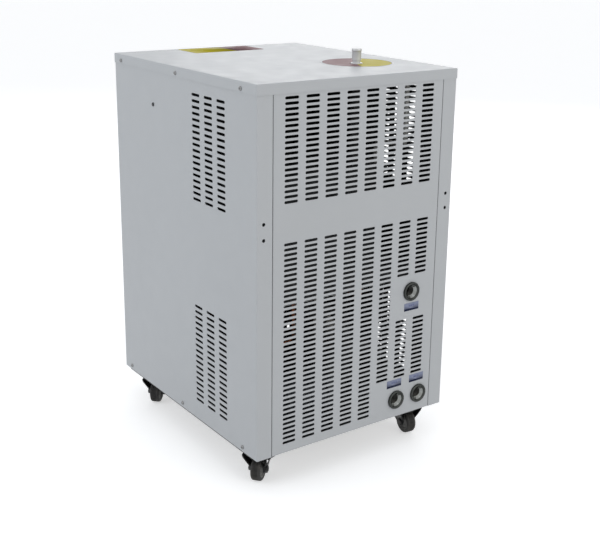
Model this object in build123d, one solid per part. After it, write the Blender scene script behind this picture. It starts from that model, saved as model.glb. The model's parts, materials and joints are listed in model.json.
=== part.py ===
from build123d import *
import os
from math import cos, radians, sin

# Cabinet, in millimetres. The front faces -Y, the water ports face +Y and the floor is Z = 0.
WIDTH = 470.0            # across the two side panels
DEPTH = 560.0            # front panel to rear panel
PANEL_HEIGHT = 720.0     # foot of the panels to the top cover's face
CASTER_HEIGHT = 68.0     # floor to the underside of the base tray
TRAY_DROP = 5.0          # how far the tray shows below the panels
SHEET = 1.2              # cabinet sheet
TRAY_SHEET = 2.0
SHELF_SHEET = 1.5
BEND = 2.0               # outside radius of a cabinet fold
TRAY_BEND = 3.0
SEAM = 0.6               # gap between neighbouring panels
SEAT = 0.3               # clearance between lapped sheets and other seated faces
CORNER_FLANGE = 34.0     # how far a side panel folds round the front and the rear
LIP = 16.0               # inward return along a panel's edge
SKIRT = 20.0             # depth of the top cover's fold
TRAY_INSET = 21.0        # tray end wall, back from the panel face
TRAY_WALL = 34.0         # height of the tray's side walls
SHELF_RISE = 297.0       # top of the mid shelf above the panels' foot
SHELF_FLANGE = 14.0

# Punched slots
SLOT_LENGTH = 30.0
SLOT_HEIGHT = 5.5
COLUMN_PITCH = 46.0
REAR_COLUMNS = 8
REAR_ROW_PITCH = 10.0
REAR_LOWEST_ROW = 22.0   # above the panels' foot
REAR_LOWER_ROWS = 41
REAR_BAND_ROWS = 7       # rows left out between the two rear fields
REAR_UPPER_ROWS = 20
SIDE_COLUMNS = 3
SIDE_COLUMNS_Y = 111.4   # middle column
SIDE_ROW_PITCH = 12.0
SIDE_ROWS = 18
SIDE_FIELD_RISES = (43.5, 470.1)
FRONT_COLUMNS = 6
FRONT_ROWS = 24
FRONT_LOWEST_ROW = 32.0

# Screws of the cabinet
SCREW_R = 2.0
SCREW_HEAD_R = 4.0
SCREW_HEAD_H = 2.4
SCREW_LENGTH = 9.0
HOLE_FIT = 0.15
CHAMFER = 0.8            # broken edges of turned and moulded pieces
SIDE_SCREW_PITCH = 238.0
SIDE_SCREW_MIDDLE_Y = -9.0
COVER_SCREW_DROP = 13.0
BASE_SCREW_RISE = 9.5
FOOT_SCREW_XS = (-155.0, -26.0, 155.0)
FOOT_SCREW_BACK = 10.0   # behind the panel face
FOOT_SCREW_SHOWS = 3.6   # point of the screw below the panel's foot
FLANGE_HOLE_R = 3.5
FLANGE_HOLE_X = 220.5
FLANGE_HOLE_RISES = (437.5, 467.5)
PLUG_R = 4.0
PLUG_Y = -108.0
PLUG_RISE = 632.5

# Water ports, turned fittings that pass through the rear panel
PORT_X = -138.0          # the high port, and the middle of the two low ones
PORT_SPREAD = 60.0       # between the two low ports
PORT_HIGH_RISE = 272.8
PORT_LOW_RISE = 40.2
PORT_FLANGE_R = 20.0
PORT_FLANGE_T = 5.0
PORT_MOUTH_R = 16.5
PORT_CONE_DEPTH = 8.0
PORT_BORE_R = 9.3        # half-inch pipe thread, core
PORT_BORE_LENGTH = 15.0
PORT_BODY_R = 13.0
PORT_BODY_LENGTH = 26.0
PORT_WAY_R = 6.0
BARB_R = 9.0
BARB_LENGTH = 22.0
BARB_STEPS = 3
BARB_CUT = 1.2           # depth of a barb's step
PORT_NUT_ACROSS = 34.0
PORT_NUT_T = 7.0
HIGH_BLANK_RISES = (217.0, 307.0)
HIGH_BLANK_HALF = 40.0
LOW_BLANK_RISE = 87.0
LOW_BLANK_XS = (-184.0, -46.0)
LABEL_WIDTH = 38.5
LABEL_HEIGHT = 16.7
LABEL_T = 0.3
HIGH_LABEL_OFFSET = (-3.0, -33.2)
LOW_LABEL_OFFSET = (5.4, 37.2)

# Filler on the top cover, and the cover's labels
FILLER_X = -102.0
FILLER_Y = 127.0
FILLER_FLANGE_R = 12.0
FILLER_FLANGE_T = 2.5
FILLER_STEM_R = 8.0
FILLER_BORE_R = 6.0
FILLER_RISE = 20.0       # neck above the cover
FILLER_TAIL = 26.0       # neck below the cover
FILLER_NUT_ACROSS = 24.0
FILLER_NUT_T = 5.0
CAP_R = 9.3
CAP_RIM_R = 10.4
CAP_RISE = 31.0          # top of the cap above the cover
CAP_START = 7.0
CAP_WALL = 3.0
CAP_FIT = 0.06
CAP_RIM_H = 4.0
FLUTES = 8
FLUTE_R = 0.9
ROUND_LABEL_R = 75.0
ROUND_LABEL_X = -117.0
ROUND_LABEL_Y = 110.0
FRONT_LABEL = (176.0, 84.0)
FRONT_LABEL_Y = -231.0
LABEL_CORNER = 6.0

# Controls on the front
FASCIA_WIDTH = 230.0
FASCIA_HEIGHT = 84.0
FASCIA_T = 2.0
FASCIA_RISE = 640.0
FASCIA_MARGIN = 12.0
CONTROLLER_X = 52.0
CONTROLLER_FACE = (79.0, 36.0)
CONTROLLER_BODY = (71.0, 29.0)
CONTROLLER_DEPTH = 60.0
BEZEL_T = 3.0
KEY_PITCH = 17.0
KEY_SIZE = (11.0, 5.0)
KEY_SHOWS = 1.2
KEY_TRAVEL = 0.8
KEY_FIT = 0.3
KEY_LENGTH = 4.0
KEY_DROP = 10.5
WINDOW = (52.0, 14.0)
WINDOW_DEPTH = 0.8
SWITCH_X = -80.0
SWITCH_FACE = (34.0, 32.0)
SWITCH_BODY = (29.0, 27.0)
SWITCH_DEPTH = 24.0
ROCKER_WIDTH = 20.0
ROCKER_R = 12.0
ROCKER_PIN_R = 1.5
ROCKER_FIT = 0.3
ROCKER_PIN_LENGTH = 1.5
ROCKER_TILT = 8.0        # degrees from level, in the off position
ROCKER_BACK = 6.0        # pivot behind the switch frame's underside
PIN_FIT = 0.05
LAMP_XS = (-34.0, -12.0)
LAMP_R = 5.0
LAMP_RIM_R = 7.0
LAMP_DEPTH = 18.0

# Power inlet gland on the left side
GLAND_Y = 214.0
GLAND_RISE = 60.0
GLAND_R = 8.0
GLAND_BORE_R = 4.0
GLAND_ACROSS = 22.0
GLAND_HEX_T = 5.0
GLAND_DOME = 14.0
GLAND_TAIL = 12.0

# Refrigeration
COIL_WIDTH = 300.0
COIL_HEIGHT = 262.0
COIL_DEPTH = 44.0
COIL_FRONT = 26.0        # coil behind the front face
COIL_TUBE_R = 4.75
COIL_ROWS = 8
COIL_FINS = 27
FIN_T = 1.2
FIN_DEPTH = 6.0
END_PLATE_T = 1.5
SHROUD_DEPTH = 30.0
SHROUD_T = 1.2
FAN_R = 105.0
FAN_TIP_GAP = 4.0
FAN_BLADES = 5
FAN_HUB_R = 32.0
FAN_HUB_LENGTH = 24.0
FAN_GAP = 3.0            # coil to hub
BLADE_T = 2.4
BLADE_CHORDS = (40.0, 58.0)     # root and tip
BLADE_PITCHES = (32.0, 20.0)    # degrees, root and tip
MOTOR_R = 40.0
MOTOR_LENGTH = 56.0
MOTOR_SHAFT_R = 4.0
MOTOR_BOSS_R = 12.0
MOTOR_ARM_WIDTH = 14.0
MOTOR_ARM_T = 3.0
COMPRESSOR_X = 92.0
COMPRESSOR_Y = 28.0
COMPRESSOR_R = 72.0
COMPRESSOR_HEIGHT = 186.0
COMPRESSOR_FOOT = 62.0   # mounting hole from the middle, both ways
COMPRESSOR_DOME = 30.0
COMPRESSOR_SEAM = 2.5
COMPRESSOR_SEAM_SHARE = 0.55
COMPRESSOR_EAR = 2.0     # foot plate beyond the mounts
TERMINAL_BOX = (15.0, 44.0, 44.0)
COMPRESSOR_PLATE_T = 3.0
COMPRESSOR_STUB = 8.0
DISCHARGE_RISE = 150.0   # above the compressor's plate
SUCTION_RISE = 96.0
MOUNT_HEIGHT = 14.0
MOUNT_R = 11.0
MOUNT_WAIST = 2.0
MOUNT_BOLT_R = 3.0
MOUNT_WASHER = (9.0, 1.5)
MOUNT_HEAD = (10.0, 4.0)
EVAPORATOR_X = -173.0
EVAPORATOR_Y = -60.0
EVAPORATOR_SIZE = (110.0, 62.0, 196.0)
EVAPORATOR_PORTS = (35.0, 75.0)     # from its middle, across and up
EVAPORATOR_PLATES = 9
EVAPORATOR_CORNER = 14.0
EVAPORATOR_LIP = 2.0
DRIER_X = -105.0
DRIER_Y = -150.0
DRIER_R = 14.0
DRIER_LENGTH = 92.0
DRIER_RISE = 50.0
PIPE_R = 4.75
PIPE_WALL = 0.8
PIPE_BEND = 10.0
SUCTION_R = 6.35

# Water circuit
TANK_SIZE = (320.0, 226.0, 214.0)
TANK_Y = 53.0
TANK_WALL = 4.0
TANK_LID_T = 4.0
TANK_LID_LAP = 6.0
TANK_LID_SKIRT = 12.0
TANK_CORNER = 14.0
PUMP_X = 24.0
PUMP_Y = 180.0
PUMP_MOTOR_R = 42.0
PUMP_MOTOR_LENGTH = 92.0
PUMP_HEAD_R = 46.0
PUMP_HEAD_LENGTH = 30.0
PUMP_RISE = 62.0         # pump axis above the tray
PUMP_EDGE = 4.0
PUMP_RIBS = 7
PUMP_RIB_PITCH = 11.0
PUMP_OUTLET_Y = 30.0     # outlet barb, behind the axis
DELIVERY_DROP = 3.5      # from the head's crest to the end of the hose beside it
PUMP_FOOT_WIDTH = 72.0
PUMP_FOOT_T = 6.0
PUMP_FOOT_GAP = 6.0
HOSE_R = 12.0
HOSE_WALL = 2.8
HOSE_BEND = 20.0
TANK_OUTLET_Y = 136.0
TANK_RETURN = (-75.0, 60.0)
TANK_DRAIN = (-100.0, 100.0)
STUB_LENGTH = 22.0
SUCTION_LOOP_RISE = 110.0
VENT_R = 5.0
VENT_WALL = 1.2
VENT_STUB = 14.0
VENT_X = -146.0
VENT_EDGE = 22.0         # in from the tank's rear wall
VENT_RISE = 60.0         # to where the hose has reached the rear panel
VENT_SHIFT = 20.0
VENT_BENDS = (16.0, 12.0)

# Electrical panel behind the controls
BRACKET_SIZE = (250.0, 150.0)
BRACKET_Y = -150.0
BRACKET_FOOT = 24.0
BRACKET_T = 1.5
CONTACTOR_SIZE = (58.0, 50.0, 78.0)
CONTACTOR_X = -60.0
CONTACTOR_RISE = 84.0    # its middle, above the shelf

# Casters, two-inch wheels
CASTER_X = 184.0
CASTER_Y = 217.0
CASTER_TRAIL = 16.0
CASTER_HEADINGS = {"rear_right": 38.0, "rear_left": 83.0, "front_right": 45.0, "front_left": 120.0}
CASTER_PLATE = (68.0, 62.0)
CASTER_PLATE_T = 2.5
CASTER_BOLT_PITCH = (54.0, 48.0)
CASTER_BOLT_R = 3.0
CASTER_BOLT_HEAD_R = 5.0
CASTER_BOLT_HEAD_H = 3.0
CASTER_NUT_ACROSS = 10.0
CASTER_NUT_T = 5.0
RACE_R = 20.0
RACE_HEIGHT = 7.5
KINGPIN_R = 5.0
KINGPIN_HEAD_R = 8.0
KINGPIN_HEAD_H = 3.0
FORK_T = 2.4
FORK_GAP = 25.0          # between the fork's legs
CROWN_R = 22.0
CROWN_RIM_R = 30.0
FORK_BOSS_R = 9.0
WHEEL_R = 25.0
WHEEL_WIDTH = 20.0
WHEEL_HUB_R = 10.0
WHEEL_RIM_R = 18.0
WHEEL_SIDE_GAP = 0.5     # hub to fork leg
AXLE_R = 4.0
AXLE_HEAD_ACROSS = 13.0
AXLE_HEAD_T = 4.5
RUNNING_FIT = 0.06

# Derived planes and edges
HALF_W = WIDTH / 2
HALF_D = DEPTH / 2
FOOT = CASTER_HEIGHT + TRAY_DROP
TOP = FOOT + PANEL_HEIGHT
UNDER_COVER = TOP - SHEET
TRAY_FLOOR = CASTER_HEIGHT + TRAY_SHEET
TRAY_HALF_W = HALF_W - SHEET - SEAT
TRAY_HALF_D = HALF_D - TRAY_INSET
END_PANEL_HALF = HALF_W - CORNER_FLANGE - SEAM
SHELF_TOP = FOOT + SHELF_RISE
SIDE_SCREW_YS = [SIDE_SCREW_MIDDLE_Y + i * SIDE_SCREW_PITCH for i in (-1, 0, 1)]
PORTS = {
    "return_port": (PORT_X, FOOT + PORT_HIGH_RISE),
    "supply_port": (PORT_X + PORT_SPREAD / 2, FOOT + PORT_LOW_RISE),
    "drain_port": (PORT_X - PORT_SPREAD / 2, FOOT + PORT_LOW_RISE),
}


# Helpers

def block(x0, x1, y0, y1, z0, z1):
    """A box between three pairs of planes."""
    middle = Pos((x0 + x1) / 2, (y0 + y1) / 2, (z0 + z1) / 2)
    return middle * Box(abs(x1 - x0), abs(y1 - y0), abs(z1 - z0))


def facing(x, y, z, direction):
    """A plane at a point whose normal is the given direction, with a level first axis."""
    normal = Vector(*direction)
    level = Vector(1, 0, 0) if abs(normal.Z) > 0.9 else Vector(0, 0, 1).cross(normal)
    return Plane(origin=(x, y, z), x_dir=level, z_dir=normal)


def rod(radius, start, direction, length):
    """A round bar from a point along a direction."""
    return extrude(facing(*start, direction) * Circle(radius), length)


def hexagon(across, start, direction, length):
    """A hexagonal bar from a point along a direction."""
    profile = RegularPolygon(across / 2, 6, major_radius=False)
    return extrude(facing(*start, direction) * profile, length)


def turned(points, place=None):
    """A solid of revolution about Z from (radius, height) points."""
    outline = make_face(Polyline(*[(r, 0, z) for r, z in points], close=True))
    solid = revolve(outline, Axis.Z)
    return place * solid if place else solid


def filleted(points, radii):
    """A closed flat outline whose corners have the given radii."""
    return make_face(FilletPolyline(*points, radius=radii, close=True))


def slot_punch(plane, depth):
    """One round-ended slot, cut from a plane against its normal."""
    return extrude(plane * SlotOverall(SLOT_LENGTH, SLOT_HEIGHT), -depth).solid()


def punched(sheet, punch, normal, moves):
    """The sheet with the punch's hole at every move, its walls sewn in between the sheet's two faces."""
    across = Vector(*normal)
    along = Axis((0, 0, 0), normal)
    ends = [punch.faces().sort_by(along)[i] for i in (0, -1)]
    walls = [wall for wall in punch.faces() if not any(wall.is_same(end) for end in ends)]
    faces = list(sheet.solid().faces())
    moved = [Location(Vector(*move)) for move in moves]
    for end in ends:
        level = end.center().dot(across)
        flats = [f for f in faces if f.geom_type == GeomType.PLANE]
        level_flats = [f for f in flats if abs(f.center().dot(across) - level) < 1e-4]
        skins = [f for f in level_flats if abs(f.normal_at().dot(across)) > 0.99]
        skin = max(skins, key=lambda f: f.area)
        holes = [end.outer_wire().moved(move) for move in moved]
        faces = [f for f in faces if not f.is_same(skin)]
        faces.append(Face(skin.outer_wire(), list(skin.inner_wires()) + holes))
    faces += [wall.moved(move) for move in moved for wall in walls]
    return Solid(Shell(faces))


def pipe(points, radii, outer, wall):
    """A round tube along a path with rounded corners."""
    path = FilletPolyline(*points, radius=radii) if radii else Polyline(*points)
    start = Plane(origin=path @ 0, z_dir=path % 0)
    return sweep(start * (Circle(outer) - Circle(outer - wall)), path=path)


def rows(lowest, pitch, count):
    """Heights of evenly spaced rows, from the lowest up."""
    return [lowest + i * pitch for i in range(count)]


def columns(middle, pitch, count):
    """Places of evenly spaced columns about a middle."""
    return [middle + (i - (count - 1) / 2) * pitch for i in range(count)]


# Cabinet

def base_tray():
    """Folded pan: floor, side walls, and end walls whose lips carry the end panels."""
    half, wall_top = TRAY_HALF_W, CASTER_HEIGHT + TRAY_WALL
    outline = [(-half, wall_top), (-half, CASTER_HEIGHT), (half, CASTER_HEIGHT), (half, wall_top),
               (half - TRAY_SHEET, wall_top), (half - TRAY_SHEET, TRAY_FLOOR),
               (TRAY_SHEET - half, TRAY_FLOOR), (TRAY_SHEET - half, wall_top)]
    inner = TRAY_BEND - TRAY_SHEET
    profile = filleted(outline, [0, TRAY_BEND, TRAY_BEND, 0, 0, inner, inner, 0])
    tray = extrude(Plane.XZ * profile, TRAY_HALF_D, both=True)
    lip_foot = FOOT + SHEET
    lip_half = END_PANEL_HALF - SHEET - SEAM
    span = half - TRAY_SHEET
    for side in (-1, 1):
        wall_in = side * (TRAY_HALF_D - TRAY_SHEET)
        wall_out = side * TRAY_HALF_D
        lip_out = side * (HALF_D - BEND - SEAT)
        tray += block(-span, span, wall_in, wall_out, CASTER_HEIGHT + TRAY_BEND, lip_foot)
        tray += block(-lip_half, lip_half, wall_in, lip_out, lip_foot, lip_foot + TRAY_SHEET)
        for x in FOOT_SCREW_XS:
            y = side * (HALF_D - FOOT_SCREW_BACK)
            tray -= rod(SCREW_R + HOLE_FIT, (x, y, lip_foot), (0, 0, 1), TRAY_SHEET)
    for side in (-1, 1):
        for y in SIDE_SCREW_YS:
            start = (side * half, y, FOOT + BASE_SCREW_RISE)
            tray -= rod(SCREW_R + HOLE_FIT, start, (-side, 0, 0), TRAY_SHEET)
    bolts = [rod(MOUNT_BOLT_R + HOLE_FIT, (x, y, CASTER_HEIGHT), (0, 0, 1), TRAY_SHEET)
             for x, y in compressor_feet()]
    return tray - caster_bolt_holes() - bolts


def caster_bolt_places(corners=((-1, -1), (-1, 1), (1, -1), (1, 1))):
    """Centres of the bolts that hold the caster plates to the tray."""
    return [(sx * CASTER_X + bx * CASTER_BOLT_PITCH[0] / 2, sy * CASTER_Y + by * CASTER_BOLT_PITCH[1] / 2)
            for sx, sy in corners for bx in (-1, 1) for by in (-1, 1)]


def caster_bolt_holes(*corners):
    """Punches for the caster bolts, through the caster plates and the tray floor."""
    start = CASTER_HEIGHT - CASTER_PLATE_T
    places = caster_bolt_places(corners) if corners else caster_bolt_places()
    return [rod(CASTER_BOLT_R + HOLE_FIT, (x, y, start), (0, 0, 1), CASTER_PLATE_T + TRAY_SHEET)
            for x, y in places]


def side_panel(side, extra):
    """Side sheet folded round the front and rear, with lips, two fields of slots and its screw holes."""
    edge, lip_x, lip_y = HALF_W, HALF_W - CORNER_FLANGE, HALF_D - LIP
    outline = [(lip_x, lip_y), (lip_x, HALF_D), (edge, HALF_D), (edge, -HALF_D), (lip_x, -HALF_D),
               (lip_x, -lip_y), (lip_x + SHEET, -lip_y), (lip_x + SHEET, SHEET - HALF_D),
               (edge - SHEET, SHEET - HALF_D), (edge - SHEET, HALF_D - SHEET),
               (lip_x + SHEET, HALF_D - SHEET), (lip_x + SHEET, lip_y)]
    inner = BEND - SHEET
    radii = [0, BEND, BEND, BEND, BEND, 0, 0, inner, inner, inner, inner, 0]
    outline = [(side * x, y) for x, y in outline]
    panel = Pos(0, 0, FOOT) * extrude(filleted(outline, radii), UNDER_COVER - FOOT)
    cuts = list(extra)
    for y in SIDE_SCREW_YS:
        for z in (TOP - COVER_SCREW_DROP, FOOT + BASE_SCREW_RISE):
            cuts.append(rod(SCREW_R + HOLE_FIT, (side * edge, y, z), (-side, 0, 0), SHEET))
    for z in FLANGE_HOLE_RISES:
        cuts.append(rod(FLANGE_HOLE_R, (side * FLANGE_HOLE_X, HALF_D, FOOT + z), (0, -1, 0), SHEET))
    normal = (side, 0, 0)
    moves = [(0, y, z) for y in columns(SIDE_COLUMNS_Y, COLUMN_PITCH, SIDE_COLUMNS)
             for start in SIDE_FIELD_RISES for z in rows(start, SIDE_ROW_PITCH, SIDE_ROWS)]
    return punched(panel - cuts, slot_punch(facing(side * edge, 0, FOOT, normal), SHEET), normal, moves)


def side_panel_right():
    """The side that shows, with the hole of its plug."""
    start = (HALF_W, PLUG_Y, FOOT + PLUG_RISE)
    return side_panel(1, [rod(PLUG_R / 2 + HOLE_FIT, start, (-1, 0, 0), SHEET)])


def side_panel_left():
    """The other side, with the hole of the cable gland."""
    start = (-HALF_W, GLAND_Y, FOOT + GLAND_RISE)
    return side_panel(-1, [rod(GLAND_R + HOLE_FIT, start, (1, 0, 0), SHEET)])


def end_panel(side, cuts, places):
    """Shallow pan that closes the front or the rear between the side panels' flanges, with its slots."""
    half = END_PANEL_HALF
    height = UNDER_COVER - FOOT
    middle = Pos(0, side * (HALF_D - LIP / 2), FOOT + height / 2)
    pan = middle * Box(2 * half, LIP, height)
    pan = fillet(pan.faces().sort_by(Axis.Y)[-1 if side > 0 else 0].edges(), BEND)
    hollow = middle * Pos(0, -side * SHEET, 0) * Box(2 * (half - SHEET), LIP, height - 2 * SHEET)
    hollow = fillet(hollow.faces().sort_by(Axis.Y)[-1 if side > 0 else 0].edges(), BEND - SHEET)
    for x in FOOT_SCREW_XS:
        y = side * (HALF_D - FOOT_SCREW_BACK)
        cuts.append(rod(SCREW_R + HOLE_FIT, (x, y, FOOT), (0, 0, 1), SHEET))
    normal = (0, side, 0)
    punch = slot_punch(facing(0, side * HALF_D, FOOT, normal), SHEET)
    return punched(pan - hollow - cuts, punch, normal, [(x, 0, z) for x, z in places])


def rear_slot_places():
    """Slot centres of the two rear fields, leaving the ports' places blank."""
    upper_start = REAR_LOWEST_ROW + (REAR_LOWER_ROWS + REAR_BAND_ROWS) * REAR_ROW_PITCH
    heights = rows(REAR_LOWEST_ROW, REAR_ROW_PITCH, REAR_LOWER_ROWS)
    heights += rows(upper_start, REAR_ROW_PITCH, REAR_UPPER_ROWS)
    places = []
    for x in columns(0, COLUMN_PITCH, REAR_COLUMNS):
        for z in heights:
            at_height = HIGH_BLANK_RISES[0] < z < HIGH_BLANK_RISES[1]
            by_high_port = abs(x - PORT_X) < HIGH_BLANK_HALF and at_height
            by_low_ports = LOW_BLANK_XS[0] < x < LOW_BLANK_XS[1] and z < LOW_BLANK_RISE
            if not by_high_port and not by_low_ports:
                places.append((x, z))
    return places


def rear_panel():
    """Rear pan with its slots and the three port holes."""
    cuts = [rod(PORT_BODY_R + SEAT, (x, HALF_D, z), (0, -1, 0), SHEET) for x, z in PORTS.values()]
    return end_panel(1, cuts, rear_slot_places())


def front_panel():
    """Front pan with the condenser's intake slots and the opening behind the fascia."""
    places = [(x, z) for x in columns(0, COLUMN_PITCH, FRONT_COLUMNS)
              for z in rows(FRONT_LOWEST_ROW, REAR_ROW_PITCH, FRONT_ROWS)]
    half_w = FASCIA_WIDTH / 2 - FASCIA_MARGIN
    half_h = FASCIA_HEIGHT / 2 - FASCIA_MARGIN
    z = FOOT + FASCIA_RISE
    window = block(-half_w, half_w, -HALF_D, SHEET - HALF_D, z - half_h, z + half_h)
    return end_panel(-1, [window], places)


def top_cover():
    """Cap with a skirt folded down outside the panels on all four sides."""
    lap = SEAT + SHEET
    outer = Box(WIDTH + 2 * lap, DEPTH + 2 * lap, SKIRT)
    outer = fillet(outer.edges().filter_by(Axis.Z), BEND + lap)
    outer = fillet(outer.faces().sort_by(Axis.Z)[-1].edges(), BEND)
    inner = Pos(0, 0, -SHEET) * Box(WIDTH + 2 * SEAT, DEPTH + 2 * SEAT, SKIRT)
    inner = fillet(inner.edges().filter_by(Axis.Z), BEND + SEAT)
    cover = Pos(0, 0, TOP - SKIRT / 2) * (outer - inner)
    cuts = [rod(FILLER_STEM_R + SEAT, (FILLER_X, FILLER_Y, TOP), (0, 0, -1), SHEET)]
    for side in (-1, 1):
        for y in SIDE_SCREW_YS:
            start = (side * (HALF_W + lap), y, TOP - COVER_SCREW_DROP)
            cuts.append(rod(SCREW_R + HOLE_FIT, start, (-side, 0, 0), lap))
    return cover - cuts


def mid_shelf():
    """Shelf between the side panels, with side flanges folded down and holes for the hoses."""
    half, depth = TRAY_HALF_W, HALF_D - LIP - SEAT
    low = SHELF_TOP - SHELF_FLANGE
    outline = [(-half, low), (-half, SHELF_TOP), (half, SHELF_TOP), (half, low), (half - SHELF_SHEET, low),
               (half - SHELF_SHEET, SHELF_TOP - SHELF_SHEET), (SHELF_SHEET - half, SHELF_TOP - SHELF_SHEET),
               (SHELF_SHEET - half, low)]
    inner = BEND - SHELF_SHEET
    profile = filleted(outline, [0, BEND, BEND, 0, 0, inner, inner, 0])
    shelf = extrude(Plane.XZ * profile, depth, both=True)
    holes = [rod(HOSE_R + 2, (x, y, SHELF_TOP), (0, 0, -1), SHELF_SHEET) for x, y in shelf_hole_places()]
    return shelf - holes


def pan_screw(x, y, z, direction, length=SCREW_LENGTH):
    """Cross-head pan screw whose head rests on the given point, with its shank along the direction."""
    towards = Vector(*direction)
    plane = facing(x, y, z, direction)
    shank = extrude(plane * Circle(SCREW_R), length)
    head = extrude(plane * Circle(SCREW_HEAD_R), -SCREW_HEAD_H)
    crown = head.faces().sort_by(Axis((x, y, z), -towards))[-1]
    head = fillet(crown.edges(), SCREW_HEAD_H * 0.6)
    recess = plane.offset(-SCREW_HEAD_H) * (Rectangle(4.2, 1.0) + Rectangle(1.0, 4.2))
    return shank + head - extrude(recess, 1.2)


def cover_screws():
    """Screws through the cover's skirt into the side panels."""
    face = HALF_W + SEAT + SHEET
    return [pan_screw(side * face, y, TOP - COVER_SCREW_DROP, (-side, 0, 0))
            for side in (-1, 1) for y in SIDE_SCREW_YS]


def base_screws():
    """Screws through the side panels into the tray's walls."""
    return [pan_screw(side * HALF_W, y, FOOT + BASE_SCREW_RISE, (-side, 0, 0))
            for side in (-1, 1) for y in SIDE_SCREW_YS]


def foot_screws():
    """Screws down through the tray's lips into the end panels, with their points below the foot."""
    start = FOOT + SHEET + TRAY_SHEET
    length = SHEET + TRAY_SHEET + FOOT_SCREW_SHOWS
    return [pan_screw(x, side * (HALF_D - FOOT_SCREW_BACK), start, (0, 0, -1), length)
            for side in (-1, 1) for x in FOOT_SCREW_XS]


def side_plug():
    """Round push-in plug on the right side."""
    plane = facing(HALF_W, PLUG_Y, FOOT + PLUG_RISE, (1, 0, 0))
    stem = extrude(plane * Circle(PLUG_R / 2), -SHEET * 4)
    head = extrude(plane * Circle(PLUG_R), 2.0)
    return stem + fillet(head.faces().sort_by(Axis.X)[-1].edges(), 1.4)


# Water ports and labels

def water_port(name):
    """Turned fitting: coned mouth and threaded bore outside, hose barb inside."""
    x, z = PORTS[name]
    flange, cone_end = PORT_FLANGE_T, PORT_FLANGE_T - PORT_CONE_DEPTH
    bore_end = cone_end - PORT_BORE_LENGTH
    body_end, tail = -PORT_BODY_LENGTH, -PORT_BODY_LENGTH - BARB_LENGTH
    step = BARB_LENGTH / BARB_STEPS
    neck = BARB_R - BARB_CUT
    outline = [(PORT_WAY_R, tail)]
    for i in range(BARB_STEPS):
        foot = tail + i * step
        outline += [(neck, foot), (BARB_R, foot + step - BARB_CUT), (neck, foot + step - BARB_CUT)]
    outline += [(neck, body_end), (PORT_BODY_R, body_end), (PORT_BODY_R, 0), (PORT_FLANGE_R, 0),
                (PORT_FLANGE_R, flange - CHAMFER), (PORT_FLANGE_R - CHAMFER, flange), (PORT_MOUTH_R, flange),
                (PORT_BORE_R, cone_end), (PORT_BORE_R, bore_end), (PORT_WAY_R, bore_end)]
    return turned(outline, facing(x, HALF_D, z, (0, 1, 0)).location)


def ring_nut(across, bore, start, direction, thickness):
    """Hexagonal nut round a bore."""
    return hexagon(across, start, direction, thickness) - rod(bore, start, direction, thickness)


def lock_nuts():
    """Nuts that clamp the ports from inside the rear panel, and the filler's neck from under the cover."""
    nuts = [ring_nut(PORT_NUT_ACROSS, PORT_BODY_R + HOLE_FIT, (x, HALF_D - SHEET, z), (0, -1, 0), PORT_NUT_T)
            for x, z in PORTS.values()]
    filler = (FILLER_X, FILLER_Y, UNDER_COVER)
    return nuts + [ring_nut(FILLER_NUT_ACROSS, FILLER_STEM_R + HOLE_FIT, filler, (0, 0, -1), FILLER_NUT_T)]


def port_labels():
    """Thin labels beside the ports."""
    labels = []
    for name, (x, z) in PORTS.items():
        dx, dz = HIGH_LABEL_OFFSET if name == "return_port" else LOW_LABEL_OFFSET
        labels.append(block(x + dx - LABEL_WIDTH / 2, x + dx + LABEL_WIDTH / 2, HALF_D, HALF_D + LABEL_T,
                            z + dz - LABEL_HEIGHT / 2, z + dz + LABEL_HEIGHT / 2))
    return labels


def round_label():
    """Round label on the cover, open round the filler."""
    disc = Pos(ROUND_LABEL_X, ROUND_LABEL_Y) * Circle(ROUND_LABEL_R)
    disc -= Pos(FILLER_X, FILLER_Y) * Circle(FILLER_FLANGE_R + SEAT)
    return extrude(Plane.XY.offset(TOP) * disc, LABEL_T)


def front_label():
    """Rectangular label near the cover's front edge."""
    shape = Pos(0, FRONT_LABEL_Y) * RectangleRounded(*FRONT_LABEL, LABEL_CORNER)
    return extrude(Plane.XY.offset(TOP) * shape, LABEL_T)


# Filler

def filler_neck():
    """Hollow neck through the cover, with a flange on top and a hose tail below."""
    stem, bore = FILLER_STEM_R, FILLER_BORE_R
    outline = [(bore, -FILLER_TAIL), (stem - CHAMFER, -FILLER_TAIL), (stem, -FILLER_TAIL + CHAMFER),
               (stem, 0), (FILLER_FLANGE_R, 0), (FILLER_FLANGE_R, FILLER_FLANGE_T - CHAMFER),
               (FILLER_FLANGE_R - CHAMFER, FILLER_FLANGE_T), (stem, FILLER_FLANGE_T), (stem, FILLER_RISE),
               (bore, FILLER_RISE)]
    return turned(outline, Pos(FILLER_X, FILLER_Y, TOP))


def filler_cap():
    """Fluted screw cap with a rim, over the neck."""
    bore = FILLER_STEM_R + CAP_FIT
    roof = CAP_RISE - CAP_WALL
    rim_foot = CAP_RISE - CAP_RIM_H
    edge = CHAMFER
    outline = [(bore, CAP_START), (CAP_R, CAP_START), (CAP_R, rim_foot - edge), (CAP_RIM_R, rim_foot),
               (CAP_RIM_R, CAP_RISE - edge), (CAP_RIM_R - edge, CAP_RISE), (0, CAP_RISE), (0, roof),
               (bore, roof)]
    cap = turned(outline)
    flute_ring = CAP_R + FLUTE_R / 2
    for i in range(FLUTES):
        angle = radians(i * 360 / FLUTES)
        start = (flute_ring * cos(angle), flute_ring * sin(angle), CAP_START)
        cap -= rod(FLUTE_R, start, (0, 0, 1), rim_foot - 3 * edge - CAP_START)
    return Pos(FILLER_X, FILLER_Y, TOP) * cap


# Water circuit

def tank_top():
    """Height of the tank's open edge."""
    return SHELF_TOP + TANK_SIZE[2]


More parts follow.
